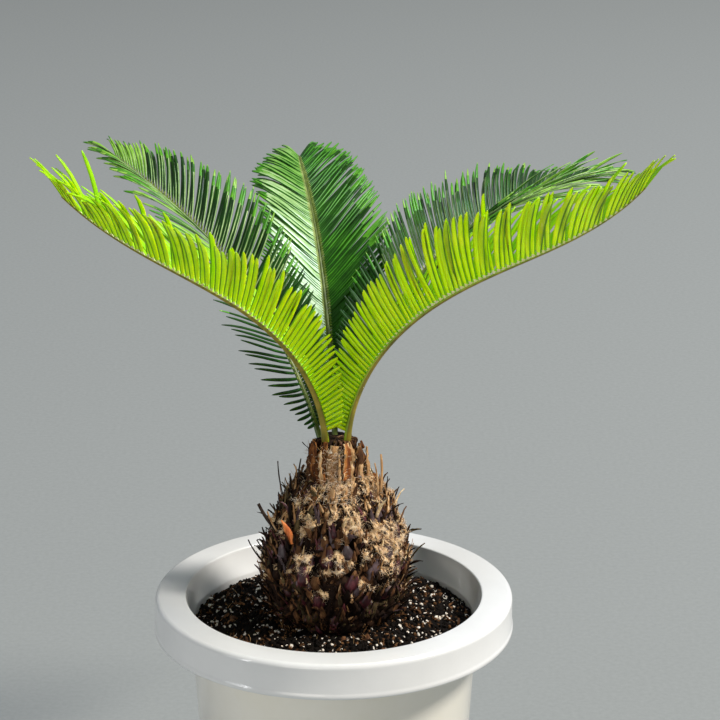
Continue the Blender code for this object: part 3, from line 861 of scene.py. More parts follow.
def make_pot():
    """The pot's outline turned round, with its drain holes cut and its wall of warmer white, a painted
    glow.
    """
    mesh = bpy.data.meshes.new("pot_outline")
    points = [(radius, 0.0, height) for radius, height in pot_outline()]
    mesh.from_pydata(points, [(i, i + 1) for i in range(len(points) - 1)], [])
    turned = bpy.data.objects.new("pot_outline", mesh)
    bpy.context.scene.collection.objects.link(turned)
    screw = turned.modifiers.new("turn", "SCREW")
    screw.steps = POT_STEPS
    screw.render_steps = POT_STEPS
    screw.use_merge_vertices = True
    screw.merge_threshold = 0.00001
    holes = drain_cutters()
    cut = turned.modifiers.new("drain_holes", "BOOLEAN")
    cut.operation = "DIFFERENCE"
    cut.operand_type = "COLLECTION"
    cut.collection = holes
    cut.solver = "EXACT"
    mesh = bake(turned, "pot_shell")
    drop(turned)
    drop_shapes(holes)
    mesh.materials.clear()
    # the outside wall below the skirt has the second finish, whose cream is painted light through the
    # plastic
    for face in mesh.polygons:
        low = face.center.z < POT_HEIGHT - SKIRT_DROP - 0.0005
        outside = face.center.xy.length > inner_radius(face.center.z) + WALL / 2
        face.material_index = int(low and outside)
    shell = show("pot_shell", mesh, [moulded_polypropylene(), glow_painted_wall()], sharp=38)
    dress(shell, "pot_plastic", "pot")


# ---------------------------------------------------------------- the soil
def soil_height(x, y):
    """The mound's surface: level under the trunk, then falling to the pot's wall, and rough."""
    radius = (x * x + y * y) ** 0.5
    edge = inner_radius(SOIL_EDGE)
    fall = clamp((radius - SOIL_SEAT) / (edge - SOIL_SEAT))
    relief = rough((x, y, 0), 0.016, 3.0) * 1.6 + rough((x, y, 0), 0.005, 9.0) * 0.9
    relief += rough((x, y, 0), 0.002, 5.0) * 0.5
    return GROUND + (SOIL_EDGE - GROUND) * fall ** 1.15 + SOIL_RELIEF * relief


def make_soil_bed():
    """The bed of peat, closed down to the pot's floor."""
    edge = inner_radius(SOIL_EDGE) - SOIL_CLEAR
    angles = np.arange(SOIL_AROUND) * 2 * pi / SOIL_AROUND
    rings = []
    for radius in np.linspace(0.002, edge, SOIL_RINGS):
        ring = [(radius * cos(a), radius * sin(a)) for a in angles]
        rings.append([(x, y, soil_height(x, y)) for x, y in ring])
    side, base = SOIL_EDGE - SOIL_SHOULDER, FLOOR + 0.0003
    for height, radius in ((side, inner_radius(side) - SOIL_CLEAR),
                           (base, inner_radius(base) - 0.002 - SOIL_CLEAR), (base, 0.004)):
        rings.append([(radius * cos(a), radius * sin(a), height) for a in angles])
    heap = Heap()
    heap.take_loft(np.array(rings), 0)
    return heap.piece("soil_bed", [damp_peat()])


def make_soil():
    """The bed, with crumbs, perlite, shreds and bark loose on it."""
    bed = make_soil_bed()
    corners = np.array([v.co for v in bed.data.vertices])
    radius = np.hypot(corners[:, 0], corners[:, 1])
    edge = inner_radius(SOIL_EDGE) - 0.0012 - SOIL_CLEAR
    top = (corners[:, 2] > SOIL_EDGE - 0.005) & (radius > LOOSE_FROM) & (radius < edge)
    set_spread(bed, top.astype(float), np.tile(UPWARD, (len(corners), 1)))
    crumbs = lumps_of("crumb", 1.0, 1, 0.9,
                      ((1, 0.8, 0.6), (1, 1, 0.8), (1.3, 0.6, 0.5), (0.9, 0.7, 0.9)))
    grains = lumps_of("grain", 7.0, 2, 0.7, ((1, 0.9, 0.7), (1, 0.8, 0.9), (1.2, 0.8, 0.6)))
    shreds = strands_of("shred", 40, 0.22, 0.075, 6)
    flakes = lumps_of("flake", 12.0, 1, 0.5, ((1.6, 0.8, 0.22), (1.2, 1.0, 0.2), (2.0, 0.5, 0.25)))
    # shapes, finish, how many to a square metre, smallest, largest, lean
    loose = {
        "soil_crumbs": (crumbs, dark_crumb(), 130000, 0.0014, 0.0056, 1.5),
        "soil_bark_crumbs": (crumbs, brown_crumb(), 34000, 0.0012, 0.0044, 1.5),
        "soil_perlite": (grains, perlite(), 24000, 0.0010, 0.0036, 1.5),
        "soil_shreds": (shreds, coir(), 7000, 0.003, 0.008, 1.5),
        "soil_bark_flakes": (flakes, brown_scale(), 7000, 0.003, 0.008, 0.9),
    }
    for seed, (name, kind) in enumerate(loose.items(), 1):
        dress(scatter(name, bed, *kind, seed), "potting_soil")
    for group in (crumbs, grains, shreds, flakes):
        drop_shapes(group)
    clear_spread(bed)
    dress(bed, "potting_soil", "soil")


# ---------------------------------------------------------------- the trunk
def outline_radius(height):
    """The bare trunk's radius at a height above the soil."""
    radii, heights = zip(*TRUNK_OUTLINE)
    return float(np.interp(height, heights, radii))


def on_trunk(out, radius, height):
    """The place that far out from the trunk's middle and that far above the soil."""
    return np.array((TRUNK_X, 0.0, GROUND + height)) + out * radius


def trunk_frame(angle, height, proud):
    """A place on the bare trunk, with the ways outward, sideways and up there."""
    out, side = ways_round(angle)
    slope = (outline_radius(height + 0.004) - outline_radius(height - 0.004)) / 0.008
    up = unit(UPWARD + out * np.clip(slope, -1.2, 1.2))
    place = on_trunk(out, outline_radius(height) + proud, height)
    return place, np.cross(side, up), side, up


def dry_and_lit(angle, height):
    """0 where the bark is damp and dark, low down and behind left, to 1 where it is dry; the dark side is
    also the side the lamps leave in shade, so its darkness is partly painted shade.
    """
    facing = 0.5 + 0.5 * cos(angle - radians(-48))
    return facing ** 1.3 * clamp((height - 0.026) / 0.030)


def felting(angle, height):
    """0 on bare bark to 1 where cycad wool has matted over it, in patches on the dry side."""
    around = outline_radius(height)
    spot = (cos(angle) * around, sin(angle) * around, height)
    band = min(clamp((0.125 - height) / 0.02), clamp((height - 0.014) / 0.022))
    wool = 2.8 * rough(spot, 0.017, 8.0) + 1.6 * rough(spot, 0.007, 2.0)
    wool += 1.5 * dry_and_lit(angle, height) - 0.95
    return clamp(wool) * band


# numbers of the bark's finishes; the first is the crevices' painted shade
SHADED_CREVICE, BROWN, OLIVE, MAROON, PURPLE, TAN, FELT = range(7)


def bark_finishes():
    return [crevice_shade_bark(), brown_scale(), olive_scale(), maroon_scale(), purple_scale(),
            tan_scale(), cream_felt()]


def pick_finish(chance, angle, height):
    """The bark finish that a number from 0 to 1 picks there, from damp brown, partly painted shade, to
    dry cream.
    """
    dry = dry_and_lit(angle, height)
    weights = np.array((0.46 - 0.30 * dry, 0.22 + 0.02 * dry, 0.15 - 0.12 * dry,
                        0.08 + 0.06 * dry, 0.03 + 0.08 * dry, 0.05 + 0.22 * dry,
                        0.01 + 0.16 * dry ** 1.5))
    return int(np.searchsorted(np.cumsum(weights / weights.sum()), chance))


def bark_relief(angle, height):
    """How far the bark stands off there, and the number of its finish. Leaf bases bulge
    between crevices, wool mats over them, and here and there a base has rotted to a hole. Crevices, holes
    and deep grooves take the near-black finish, painted shade."""
    around = outline_radius(height)
    spot = Vector((cos(angle) * around, sin(angle) * around, height * 0.75))
    near, centres = noise.voronoi(spot / LEAF_BASE_SIZE)
    edge = min(1.0, (near[1] - near[0]) / 0.5)
    fibre = rough((spot.x, spot.y, height * 0.22), 0.0013, 5.0)
    clot, fine = rough(spot, 0.0048, 6.0), rough(spot, 0.0021, 4.0)
    felt = felting(angle, height)
    hole = max(0.0, -0.22 - rough(spot, 0.0105, 4.0)) * 5
    bulge = BASE_BULGE * (edge ** 0.7 - 1) * (1 - 0.6 * felt)
    stand = bulge + CLOT_RELIEF * clot + FIBRE_RELIEF * fibre
    mat = felt * (FELT_THICK + FELT_CLOTS * clot + FELT_GRAIN * fine)
    stand += mat - HOLE_DEPTH * min(1.0, hole)
    # holes, crevices and deep grooves take the near-black finish: painted shade
    if hole > 0.35 or edge < 0.2 - 0.2 * felt or fibre < -0.34 or felt * clot < -0.22:
        return stand, SHADED_CREVICE
    if felt > 0.4:
        return stand, FELT if fine > -0.16 else TAN if fine > -0.3 else BROWN
    chance = abs(sin(centres[0].dot(Vector((127.1, 311.7, 74.7)))) * 43758.5) % 1.0
    kind = pick_finish((chance + 0.35 * max(0.0, fibre)) % 1.0, angle, height)
    return stand, BROWN if kind >= TAN and height < PALE_FROM else kind


def make_core(finishes):
    """The caudex: a skin of shrunken leaf bases with crevices painted near black as shade, fibrous up and
    down.
    With it comes how well things grow at each of its corners: not in a crevice."""
    angles = np.arange(CORE_AROUND) * 2 * pi / CORE_AROUND
    heights = np.linspace(-CORE_SINK, TRUNK_HEIGHT - CORE_SINK, CORE_RINGS)
    rings = np.zeros((CORE_RINGS, CORE_AROUND, 3))
    slots = np.zeros((CORE_RINGS, CORE_AROUND), int)
    for row, height in enumerate(heights):
        slim = 1 - NECK_SLIM * clamp((height - SHOULDER) / NECK_RISE)
        for column, angle in enumerate(angles):
            stand, slots[row, column] = bark_relief(angle, max(0.0, height))
            radius = outline_radius(max(0.0, height)) * slim + stand + 0.0002
            rings[row, column] = (TRUNK_X + radius * cos(angle), radius * sin(angle),
                                  GROUND + height)
    heap = Heap()
    heap.take_loft(rings, slots[:-1])
    core = heap.piece("caudex_body", finishes)
    return core, np.concatenate([(slots > 0).ravel().astype(float), (0.0, 0.0)])


# a scale's cross-section: half widths across, thicknesses up
BRACT_SECTION = np.array(((-1.0, -0.2), (-0.6, 0.45), (0.0, 0.75), (0.6, 0.45), (1.0, -0.2),
                          (0.6, -0.6), (0.0, -0.6), (-0.6, -0.6)))
PLATE = np.linspace(0, 1, 6)  # stations along a scale, and its widths there by kind
BASE_WIDTHS = np.array((0.90, 1.0, 0.88, 0.66, 0.40, 0.10))
TONGUE_WIDTHS = np.array((0.85, 1.0, 0.90, 0.70, 0.42, 0.08))
SPLIT_WIDTHS = np.array((0.55, 0.85, 1.0, 0.85, 0.55, 0.12))
STUB_WIDTHS = np.array((1.05, 1.0, 0.97, 0.92, 0.78, 0.40))
STUB_STATIONS = 13


def plate(rng, place, way, out, widths, thick, crown, ragged):
    """Rings of one scale that follows the steps in way, its margins torn by that much."""
    spine = place + np.cumsum(way, axis=0) - way[0]
    run = unit(way)
    across = unit(np.cross(run, out))
    upper = np.cross(across, run)
    widths = widths * (1 + rng.normal(0, ragged, len(widths)))
    rings = blade(spine, across, upper, widths, thick, BRACT_SECTION, crown)
    return rings + rng.normal(0, ragged * 0.002, rings.shape)


def tongue(rng, angle, height, long, wide, lean, slant, curl, proud, shape, thick=0.0005):
    """A scale on the trunk that rises, leans out by lean and curls further by its tip."""
    place, out, side, up = trunk_frame(angle, height, proud)
    tilt = (lean + curl * PLATE)[:, None]
    way = unit(up * np.cos(tilt) + out * np.sin(tilt) + side * slant) * long / (len(PLATE) - 1)
    return plate(rng, place, way, out, shape * wide, thick, 0.3, 0.10)


# the fresh leaf bases that show in front: angle round the trunk, height, half width, finish
FRESH_BASES = (
    (-97, 0.066, 0.0066, MAROON), (-33, 0.050, 0.0062, MAROON), (-79, 0.046, 0.0058, MAROON),
    (-39, 0.092, 0.0050, PURPLE), (-39, 0.064, 0.0056, PURPLE), (-117, 0.050, 0.0064, MAROON),
    (-58, 0.056, 0.0046, PURPLE), (-20, 0.070, 0.0054, MAROON), (-66, 0.030, 0.0050, MAROON),
    (-140, 0.062, 0.0056, PURPLE), (-104, 0.030, 0.0052, MAROON),
)


def near_fresh_base(angle, height):
    """Whether a place on the trunk lies over one of the fresh leaf bases."""
    around = outline_radius(height)
    for turn, middle, wide, _ in FRESH_BASES:
        apart = angle - radians(turn)
        beside = abs(sin(apart)) * around < wide and cos(apart) > 0
        if beside and abs(height - middle) < wide * 1.1:
            return True
    return False


def make_bracts(finishes):
    """Leaf bases that still stand out of the bark: plump plates, rooted and lapping upwards."""
    rng = np.random.default_rng(11)
    heap = Heap()
    placed = [(*fresh, FRESH_SINK) for fresh in FRESH_BASES]
    for i in range(BRACTS):
        share = (i + 0.5) / BRACTS
        height = LOWEST_BRACT + (SHOULDER - LOWEST_BRACT) * share
        turn = np.degrees(i * GOLDEN_TURN) + rng.normal(0, 6)
        kind = pick_finish(rng.random(), radians(turn), height)
        kind = BROWN if kind >= TAN else kind
        placed.append((turn, height, rng.uniform(0.0026, 0.0052), kind, BRACT_SINK))
    for turn, height, wide, kind, sink in placed:
        lean = rng.uniform(0.30, 0.60)
        rings = tongue(rng, radians(turn), height - wide, wide * rng.uniform(2.6, 3.6), wide, lean,
                       rng.normal(0, 0.15), -lean - 0.2, -sink, BASE_WIDTHS,
                       np.linspace(0.0020, 0.0006, len(PLATE)))
        slots = np.full((len(PLATE) - 1, len(BRACT_SECTION)), kind)
        # the tip is brown, or takes the crevice's near-black painted shade
        slots[-1] = BROWN if rng.random() < 0.4 else SHADED_CREVICE
        heap.take_loft(rings, slots)
    return heap.piece("leaf_bases", finishes)


def make_scales(finishes):
    """Shreds of old leaf base and scale leaf, thick over the whole trunk."""
    rng = np.random.default_rng(17)
    heap = Heap()
    for _ in range(SCALES):
        height = SHOULDER * rng.random() ** 0.92
        angle = rng.uniform(-pi, pi)
        small = rng.random() < 0.5
        long = rng.uniform(0.004, 0.009) if small else rng.uniform(0.008, 0.018)
        wide = rng.uniform(0.0005, 0.0012) if small else rng.uniform(0.0011, 0.0026)
        if near_fresh_base(angle, height) and not small and rng.random() < 0.3:
            continue
        if rng.random() < 0.8 * felting(angle, height):
            continue
        rings = tongue(rng, angle, height, long, wide, rng.uniform(0.0, 0.5),
                       rng.normal(0, 0.3), rng.normal(0.1, 0.5), rng.uniform(-0.0014, 0.0010),
                       TONGUE_WIDTHS)
        kind = pick_finish(rng.random(), angle, height)
        pale = kind >= TAN and not small and height < PALE_FROM
        heap.take_loft(rings, BROWN if pale else kind)
    return heap.piece("bark_scales", finishes)


def make_wool(core, cover):
    """Felt that mats the bark between the leaf bases, cream where it is dry, with brown wool thickest on
    the dark side as partly painted shade.
    """
    corners = np.array([v.co for v in core.data.vertices])
    angle = np.arctan2(corners[:, 1], corners[:, 0] - TRUNK_X)
    height = corners[:, 2] - GROUND
    felt = np.array([felting(a, max(0.0, h)) for a, h in zip(angle, height)])
    dry = np.array([dry_and_lit(a, h) for a, h in zip(angle, height)])
    out = np.stack([np.cos(angle), np.sin(angle), 0 * angle], axis=-1)
    strands = strands_of("strand", 70, 0.85, WOOL_THICK, 8)
    body = (height < 0.132) * np.clip((height - 0.010) / 0.030, 0, 1)
    felted = np.clip(felt * 1.3, 0, 1)
    # finish, where it grows, how many strands to a square metre, seed
    wools = {
        "wool_cream": (cream_wool(), felted, 900000, 21),
        "wool_straw": (straw_wool(), felted, 900000, 24),
        "wool_tan": (tan_wool(), np.clip(0.15 + 0.4 * dry + 0.4 * felt, 0, 1), 150000, 22),
        # brown wool is thickest where the bark is damp and shaded: partly painted shade
        "wool_brown": (brown_wool(), np.clip(0.9 - 0.8 * dry, 0.05, 1), 130000, 23),
    }
    made = []
    for name, (finish, mask, density, seed) in wools.items():
        set_spread(core, mask * body * np.clip(cover, 0.1, 1), unit(out * 0.75 + UPWARD * 0.8))
        made.append(scatter(name, core, strands, finish, density, *WOOL_LENGTH, 1.3, seed))
        clear_spread(core)
    drop_shapes(strands)
    return made


# numbers of the spines' finishes
GREY, STRAW, ORANGE = range(3)
# dead spines: angle round the trunk, height, length, lean out, slant, half width, finish
SPINES = (
    (-174, 0.098, 0.031, 0.40, 0.05, 0.0013, GREY), (-160, 0.112, 0.020, 0.10, 0.0, 0.0015, GREY),
    (-168, 0.106, 0.013, 0.3, 0.0, 0.0013, GREY), (-164, 0.104, 0.011, 0.2, 0.1, 0.0012, GREY),
    (-20, 0.104, 0.032, 0.20, 0.05, 0.0024, STRAW), (-28, 0.104, 0.028, 0.16, -0.1, 0.0015, STRAW),
    (-8, 0.102, 0.014, 0.45, 0.0, 0.0010, GREY), (-3, 0.088, 0.016, 0.12, 0.0, 0.0011, STRAW),
    (-162, 0.076, 0.026, 0.85, 0.0, 0.0036, GREY), (-157, 0.076, 0.019, 0.70, 0.0, 0.0016, STRAW),
    (-170, 0.063, 0.014, 0.6, 0.1, 0.0016, GREY), (-172, 0.055, 0.012, 0.9, 0.1, 0.0012, GREY),
    (-176, 0.045, 0.021, 0.75, 0.0, 0.0013, GREY), (-30, 0.134, 0.015, 0.30, -0.6, 0.0007, GREY),
    (-128, 0.140, 0.010, 0.5, -0.7, 0.0009, GREY), (-150, 0.138, 0.012, 1.0, -0.2, 0.0008, GREY),
)


def make_spines():
    """Dead spines, the stiff ends of old scale leaves, and one newly split orange scale."""
    rng = np.random.default_rng(5)
    heap = Heap()
    placed = list(SPINES)
    for _ in range(SMALL_SPINES):
        placed.append((rng.uniform(-180, 180), rng.uniform(0.03, 0.104), rng.uniform(0.006, 0.014),
                       rng.uniform(0.15, 0.8), rng.normal(0, 0.25), rng.uniform(0.0004, 0.0009),
                       STRAW if rng.random() < 0.3 else GREY))
    for turn, height, long, lean, slant, wide, kind in placed:
        place, out, side, _ = trunk_frame(radians(turn), height, 0.0005)
        bend = (lean - 0.35 * PLATE)[:, None]
        way = unit(UPWARD * np.cos(bend) + out * np.sin(bend) + side * slant)
        way = way * long / (len(PLATE) - 1)
        rings = plate(rng, place, way, out, TONGUE_WIDTHS * wide, wide * 0.5, 0.1, 0.03)
        heap.take_loft(rings, kind)
    split = tongue(rng, radians(-131), 0.073, 0.020, 0.0034, 0.30, -0.45, 0.25, 0.001,
                   SPLIT_WIDTHS, 0.0009)
    heap.take_loft(split, ORANGE)
    return heap.piece("dead_spines", [dark_spine(), tan_scale(), orange_scale()])


# numbers of the cut frond bases' finishes
CUT, DRIED, HOLLOW, PALE, DEAD = range(5)
# cut frond bases: angle, low end, high end, radius there, half width, cup, finish
STUBS = (
    (-154, 0.104, 0.1455, 0.0222, 0.0048, -0.30, DEAD), (-138, 0.106, 0.1480, 0.0216, 0.0046, -0.35, CUT),
    (-124, 0.108, 0.1490, 0.0212, 0.0050, -0.30, CUT), (-112, 0.108, 0.1440, 0.0222, 0.0014, -0.2, PALE),
    (-96, 0.104, 0.1470, 0.0208, 0.0060, 0.25, DRIED), (-84, 0.108, 0.1400, 0.0222, 0.0012, -0.2, PALE),
    (-66, 0.118, 0.1485, 0.0212, 0.0048, -0.75, HOLLOW), (-52, 0.104, 0.1490, 0.0224, 0.0017, -0.2, PALE),
    (-38, 0.104, 0.1470, 0.0224, 0.0040, -0.20, DEAD), (-24, 0.102, 0.1450, 0.0230, 0.0038, 0.20, DRIED),
    (-8, 0.100, 0.1400, 0.0228, 0.0044, 0.20, DRIED), (12, 0.102, 0.142, 0.0200, 0.0055, -0.30, CUT),
    (40, 0.106, 0.141, 0.0185, 0.0056, -0.30, DRIED), (68, 0.104, 0.138, 0.0190, 0.0056, -0.35, CUT),
    (96, 0.106, 0.140, 0.0180, 0.0056, -0.20, DRIED), (124, 0.104, 0.139, 0.0190, 0.0056, -0.35, CUT),
    (152, 0.106, 0.142, 0.0185, 0.0056, -0.30, DRIED), (180, 0.104, 0.142, 0.0190, 0.0054, -0.30, CUT),
)


def make_crown():
    """The neck: cut frond bases as thick upright plates, hollow or felted, with pale margins,
    over a skirt of shorter ones that spreads to the shoulder."""
    rng = np.random.default_rng(29)
    heap = Heap()
    placed = [(*stub, 0.0, 0.02) for stub in STUBS]
    for i in range(INNER_STUBS):
        turn = i * 360 / INNER_STUBS + rng.normal(0, 8)
        placed.append((turn, 0.114, rng.uniform(0.132, 0.141), 0.0120, 0.0050, -0.3,
                       (CUT, DRIED)[i % 2], 0.0, 0.1))
    for i in range(SKIRT_PLATES):
        turn = i * 360 / SKIRT_PLATES + rng.normal(0, 6)
        low = rng.uniform(0.084, 0.108)
        inward = (outline_radius(low) - CROWN_RADIUS) / SKIRT_SPREAD
        # plates on the dry, lit side are paler: partly painted light
        bright = dry_and_lit(radians(turn), low) > rng.uniform(0.2, 0.9)
        kind = int(rng.choice((DRIED, PALE, PALE) if bright else (CUT, DEAD, DEAD)))
        placed.append((turn, low, low + rng.uniform(0.006, 0.014), outline_radius(low) * 0.97,
                       rng.uniform(0.0007, 0.0022), rng.uniform(-0.3, 0.3), kind, inward, 0.25))
    for turn, low, high, radius, wide, cup, kind, inward, slant in placed:
        out, side = ways_round(radians(turn))
        place = on_trunk(out, radius, low)
        along = np.linspace(0, 1, STUB_STATIONS)
        way = UPWARD + side * rng.normal(0, slant) - out * inward
        way = way + out * np.cos(along * pi)[:, None] * 0.10
        way = way + rng.normal(0, 0.16, way.shape)
        way = unit(way) * (high - low) / (STUB_STATIONS - 1)
        widths = wide * np.interp(along, PLATE, STUB_WIDTHS)
        rings = plate(rng, place, way, out, widths, rng.uniform(0.0008, 0.0013), cup, 0.20)
        slots = np.full((STUB_STATIONS - 1, len(BRACT_SECTION)), kind)
        if kind in (DRIED, HOLLOW):
            slots[:, (0, 3)] = PALE
        heap.take_loft(rings, slots)
    return heap.piece("cut_frond_bases", [stub_face(), tan_scale(), hollow_stub(), stub_edge(),
                                          brown_scale()])


def make_neck_wool():
    """Felt on the middle stub and between the stubs, and one dry white knob in it."""
    rng = np.random.default_rng(31)
    heap = Heap()
    tufts = [strand(f"tuft_{i}", 90 + i, 0.6, WOOL_THICK) for i in range(6)]
    shapes = [np.array([v.co for v in tuft.vertices]) for tuft in tufts]
    faces = [[list(face.vertices) for face in tuft.polygons] for tuft in tufts]
    for _ in range(NECK_TUFTS):
        front = rng.random() < 0.5
        angle = radians(rng.normal(-94, 13)) if front else rng.uniform(-pi, pi)
        height = rng.uniform(0.104, 0.143) if front else rng.uniform(0.098, 0.136)
        out, side = ways_round(angle)
        radius = max(0.0212, outline_radius(height)) + rng.uniform(-0.002, 0.002)
        place = on_trunk(out, radius, height)
        way = unit(out * rng.normal(0.3, 0.3) + side * rng.normal(0, 0.5) + UPWARD * 0.6)
        across = unit(np.cross(way, out))
        pick = rng.integers(len(shapes))
        long = rng.uniform(0.003, 0.007)
        points = shapes[pick] @ np.array((across, np.cross(way, across), way)) * long
        heap.take(place + points, faces[pick], [int(rng.random() < 0.4)] * len(faces[pick]))
    for tuft in tufts:
        bpy.data.meshes.remove(tuft)
    knob = lump("knob", 3.0, 2, 0.5, (0.0052, 0.0036, 0.0044))
    place, out, _, _ = trunk_frame(radians(-97), 0.1405, 0.0012)
    heap.take(np.array([v.co for v in knob.vertices]) + place,
              [list(face.vertices) for face in knob.polygons], [2] * len(knob.polygons))
    bpy.data.meshes.remove(knob)
    return heap.piece("neck_wool", [cream_wool(), tan_wool(), perlite()])


def make_trunk():
    """The caudex, with all that stands on it."""
    finishes = bark_finishes()
    core, cover = make_core(finishes)
    for thing in (*make_wool(core, cover), make_bracts(finishes), make_scales(finishes),
                  make_spines(), make_crown(), make_neck_wool()):
        dress(thing, "trunk_bark")
    dress(core, "trunk_bark", "trunk")


# ---------------------------------------------------------------- the fronds
# How long a leaflet is, and how it lifts, sweeps and droops, follows from how far along the rib
# it stands, with a little chance.
def rib_frames(frond):
    """Points along a frond's rib, with the unit vectors along it, to its left and off its face."""
    share = (np.arange(RIB_STEPS) + 0.5) / RIB_STEPS
    rest = 1 - share
    a, b, c, d = frond["lean"]
    lean = np.radians(a * rest**3 + 3 * b * rest**2 * share + 3 * c * rest * share**2
                      + d * share**3)
    heading = np.radians(frond["heading"] + frond["turn"] * share)
    along = np.stack([np.sin(lean) * np.cos(heading), np.sin(lean) * np.sin(heading),
                      np.cos(lean)], axis=-1)
    steps = np.cumsum(along * frond["length"] / RIB_STEPS, axis=0)
    drop_in = RIB_RADIUS * sin(radians(a))
    foot = np.array([*frond["foot"], FROND_FOOT + FOOT_GAP + drop_in])
    points = np.vstack([foot, foot + steps])
    along = np.vstack([along[:1], along])
    left = np.stack([-np.sin(heading), np.cos(heading), 0 * heading], axis=-1)
    left = np.vstack([left[:1], left])
    return points, along, left, np.cross(along, left)


def at(rows, share):
    """An array's rows, blended between neighbours, at shares of its length."""
    place = np.asarray(share) * (len(rows) - 1)
    low = np.minimum(place.astype(int), len(rows) - 2)
    part = (place - low)[..., None]
    return rows[low] * (1 - part) + rows[low + 1] * part


def leaflet_share(place):
    """Share of the rib's length at a place in the row, from 0 at its first leaflet to 1."""
    return FIRST_LEAFLET + (1 - FIRST_LEAFLET) * (SPACING**place - 1) / (SPACING - 1)


def leaflet_pitch(frond, row, share):
    """How far apart the leaflets of a row stand there."""
    growth = 1 + (SPACING - 1) * (share - FIRST_LEAFLET) / (1 - FIRST_LEAFLET)
    first = frond["length"] * (1 - FIRST_LEAFLET) * log(SPACING) / (SPACING - 1)
    return first / row["leaflets"] * growth


def sweep_angle(row, share):
    """The angle between a leaflet and the rib there."""
    return radians(float(np.interp(share, SWEEP_AT, row["sweep"])))


def leaflet_length(row, share):
    """Short at the foot, full along the middle, and shorter again towards the tip."""
    growing = 0.17 + 0.83 * clamp(share / row["full"])
    falling = 1 - (1 - row["end"]) * max(0.0, (share - 0.65) / 0.35) ** 1.6
    return row["leaf"] * growing * falling


def leaflet_spine(frond, row, frames, share, side, rng):
    """Points along one leaflet, which swings towards the tip and sags as it goes."""
    points, along, left, face = frames
    stray = min(0.35, max(0.0, rng.normal(0, 1) - 1.1) * max(0.0, share - 0.3)) * frond["young"]
    if "loose" in row and row["loose"][0] < share < row["loose"][1]:
        stray += rng.choice((0.1, 0.8))
    lift = float(np.interp(share, LIFT_AT, row["lift"])) + 28 * stray
    lift += rng.normal(0, 1.2 + 1.6 * share + row.get("stir", 0) * max(0.0, share - 0.4))
    outward = at(left, share) * side * cos(radians(lift)) + at(face, share) * sin(radians(lift))
    forward = at(along, share)
    sweep = sweep_angle(row, share) * (1 + rng.normal(0, 0.012 + 0.03 * share)) + 0.5 * stray
    step = leaflet_length(row, share) * (1 + rng.normal(0, 0.025)) / LEAFLET_STEPS
    droop = row["droop"] * (1 + rng.normal(0, 0.2))
    place = at(points, share)
    spine = [place]
    for i in range(LEAFLET_STEPS):
        u = i / LEAFLET_STEPS
        angle = sweep * (1 - 0.25 * u)
        heading = forward * cos(angle) + outward * sin(angle)
        heading[2] -= droop * (1 + 0.8 * share) * u * u
        place = place + step * unit(heading)
        spine.append(place)
    return np.array(spine), forward


def leaflet_rings(frond, row, frames, share, side, rng):
    """One leaflet, keeled and a little twisted, as wide as its room and its age allow."""
    spine, forward = leaflet_spine(frond, row, frames, share, side, rng)
    sweep = sweep_angle(row, share)
    room = leaflet_pitch(frond, row, share) * sin(max(sweep, LEAST_SWEEP))
    widest = YOUNG_WIDTH if frond["young"] else MATURE_WIDTH
    lap = float(np.interp(share, LAP_AT, row["lap"]))
    width = min(widest, lap * room) * (1 + rng.normal(0, 0.04))
    run = unit(at(np.gradient(spine, axis=0), STATIONS))
    upper = unit(np.cross(run, forward) * -side)
    across = np.cross(upper, run)
    twist = radians(10 + rng.normal(0, 5)) * side
    tilted = across * cos(twist) + upper * sin(twist)
    upper = upper * cos(twist) - across * sin(twist)
    shape = BLUNT if frond["young"] else POINTED
    return blade(at(spine, STATIONS), tilted, upper, shape * width / 2, LEAFLET_THICK, SECTION,
                 LEAF_KEEL)


def leaflet_slots(frond, row, share, side, rng):
    """The finish of each face of a leaflet, from its callus out to its tip."""
    slots = np.full((len(STATIONS) - 1, len(SECTION)), UNDER)
    slots[:, :UPPER_FACES] = UPPER
    # whole leaflets past the row's bright share take its lighter finish: painted light
    light = share > row.get("bright", 1)
    if light:
        slots[:] = BRIGHT
    # the lit row's foot takes the whitish painted sheen, its far part a clearer green
    if "sheen_shares" in row:
        waxy, clear = row["sheen_shares"]
        dealt = share + 0.16 * (share * 377 % 1 - 0.5)
        slots[:] = PAINTED_SHEEN if dealt < waxy else FAR if dealt > clear else BRIGHT
    slots[0] = CALLUS
    if frond["young"]:
        slots[1:, 7 if side > 0 else 4] = UNDER_DEEP
        return slots
    # stirred outer leaflets take the lighter outer and tip greens, partly painted light
    if "stir" in row and share > 0.4 and rng.random() < 0.7:
        slots[1:] = OUTER if rng.random() < 0.6 else TIP
    # past 0.3 of the rib, one edge of each leaflet takes a pale line: painted highlight
    if share > 0.30:
        slots[1:-2, 3 if side > 0 else 0] = EDGE_HIGHLIGHT
    # the tips, and on other rows the outer third, lighten in steps: partly painted light through the thin
    # leaf
    if light:
        slots[-2:] = OUTER if rng.random() < 0.5 else TIP
    elif share > 0.30 + rng.normal(0, 0.05):
        slots[-4, 1:3] = OUTER_DEEP if rng.random() < 0.6 else slots[-4, 1]
        slots[-3] = OUTER if rng.random() < 0.6 else OUTER_DEEP
        slots[-2] = OUTER if rng.random() < 0.6 else TIP
        slots[-1] = TIP
    return slots


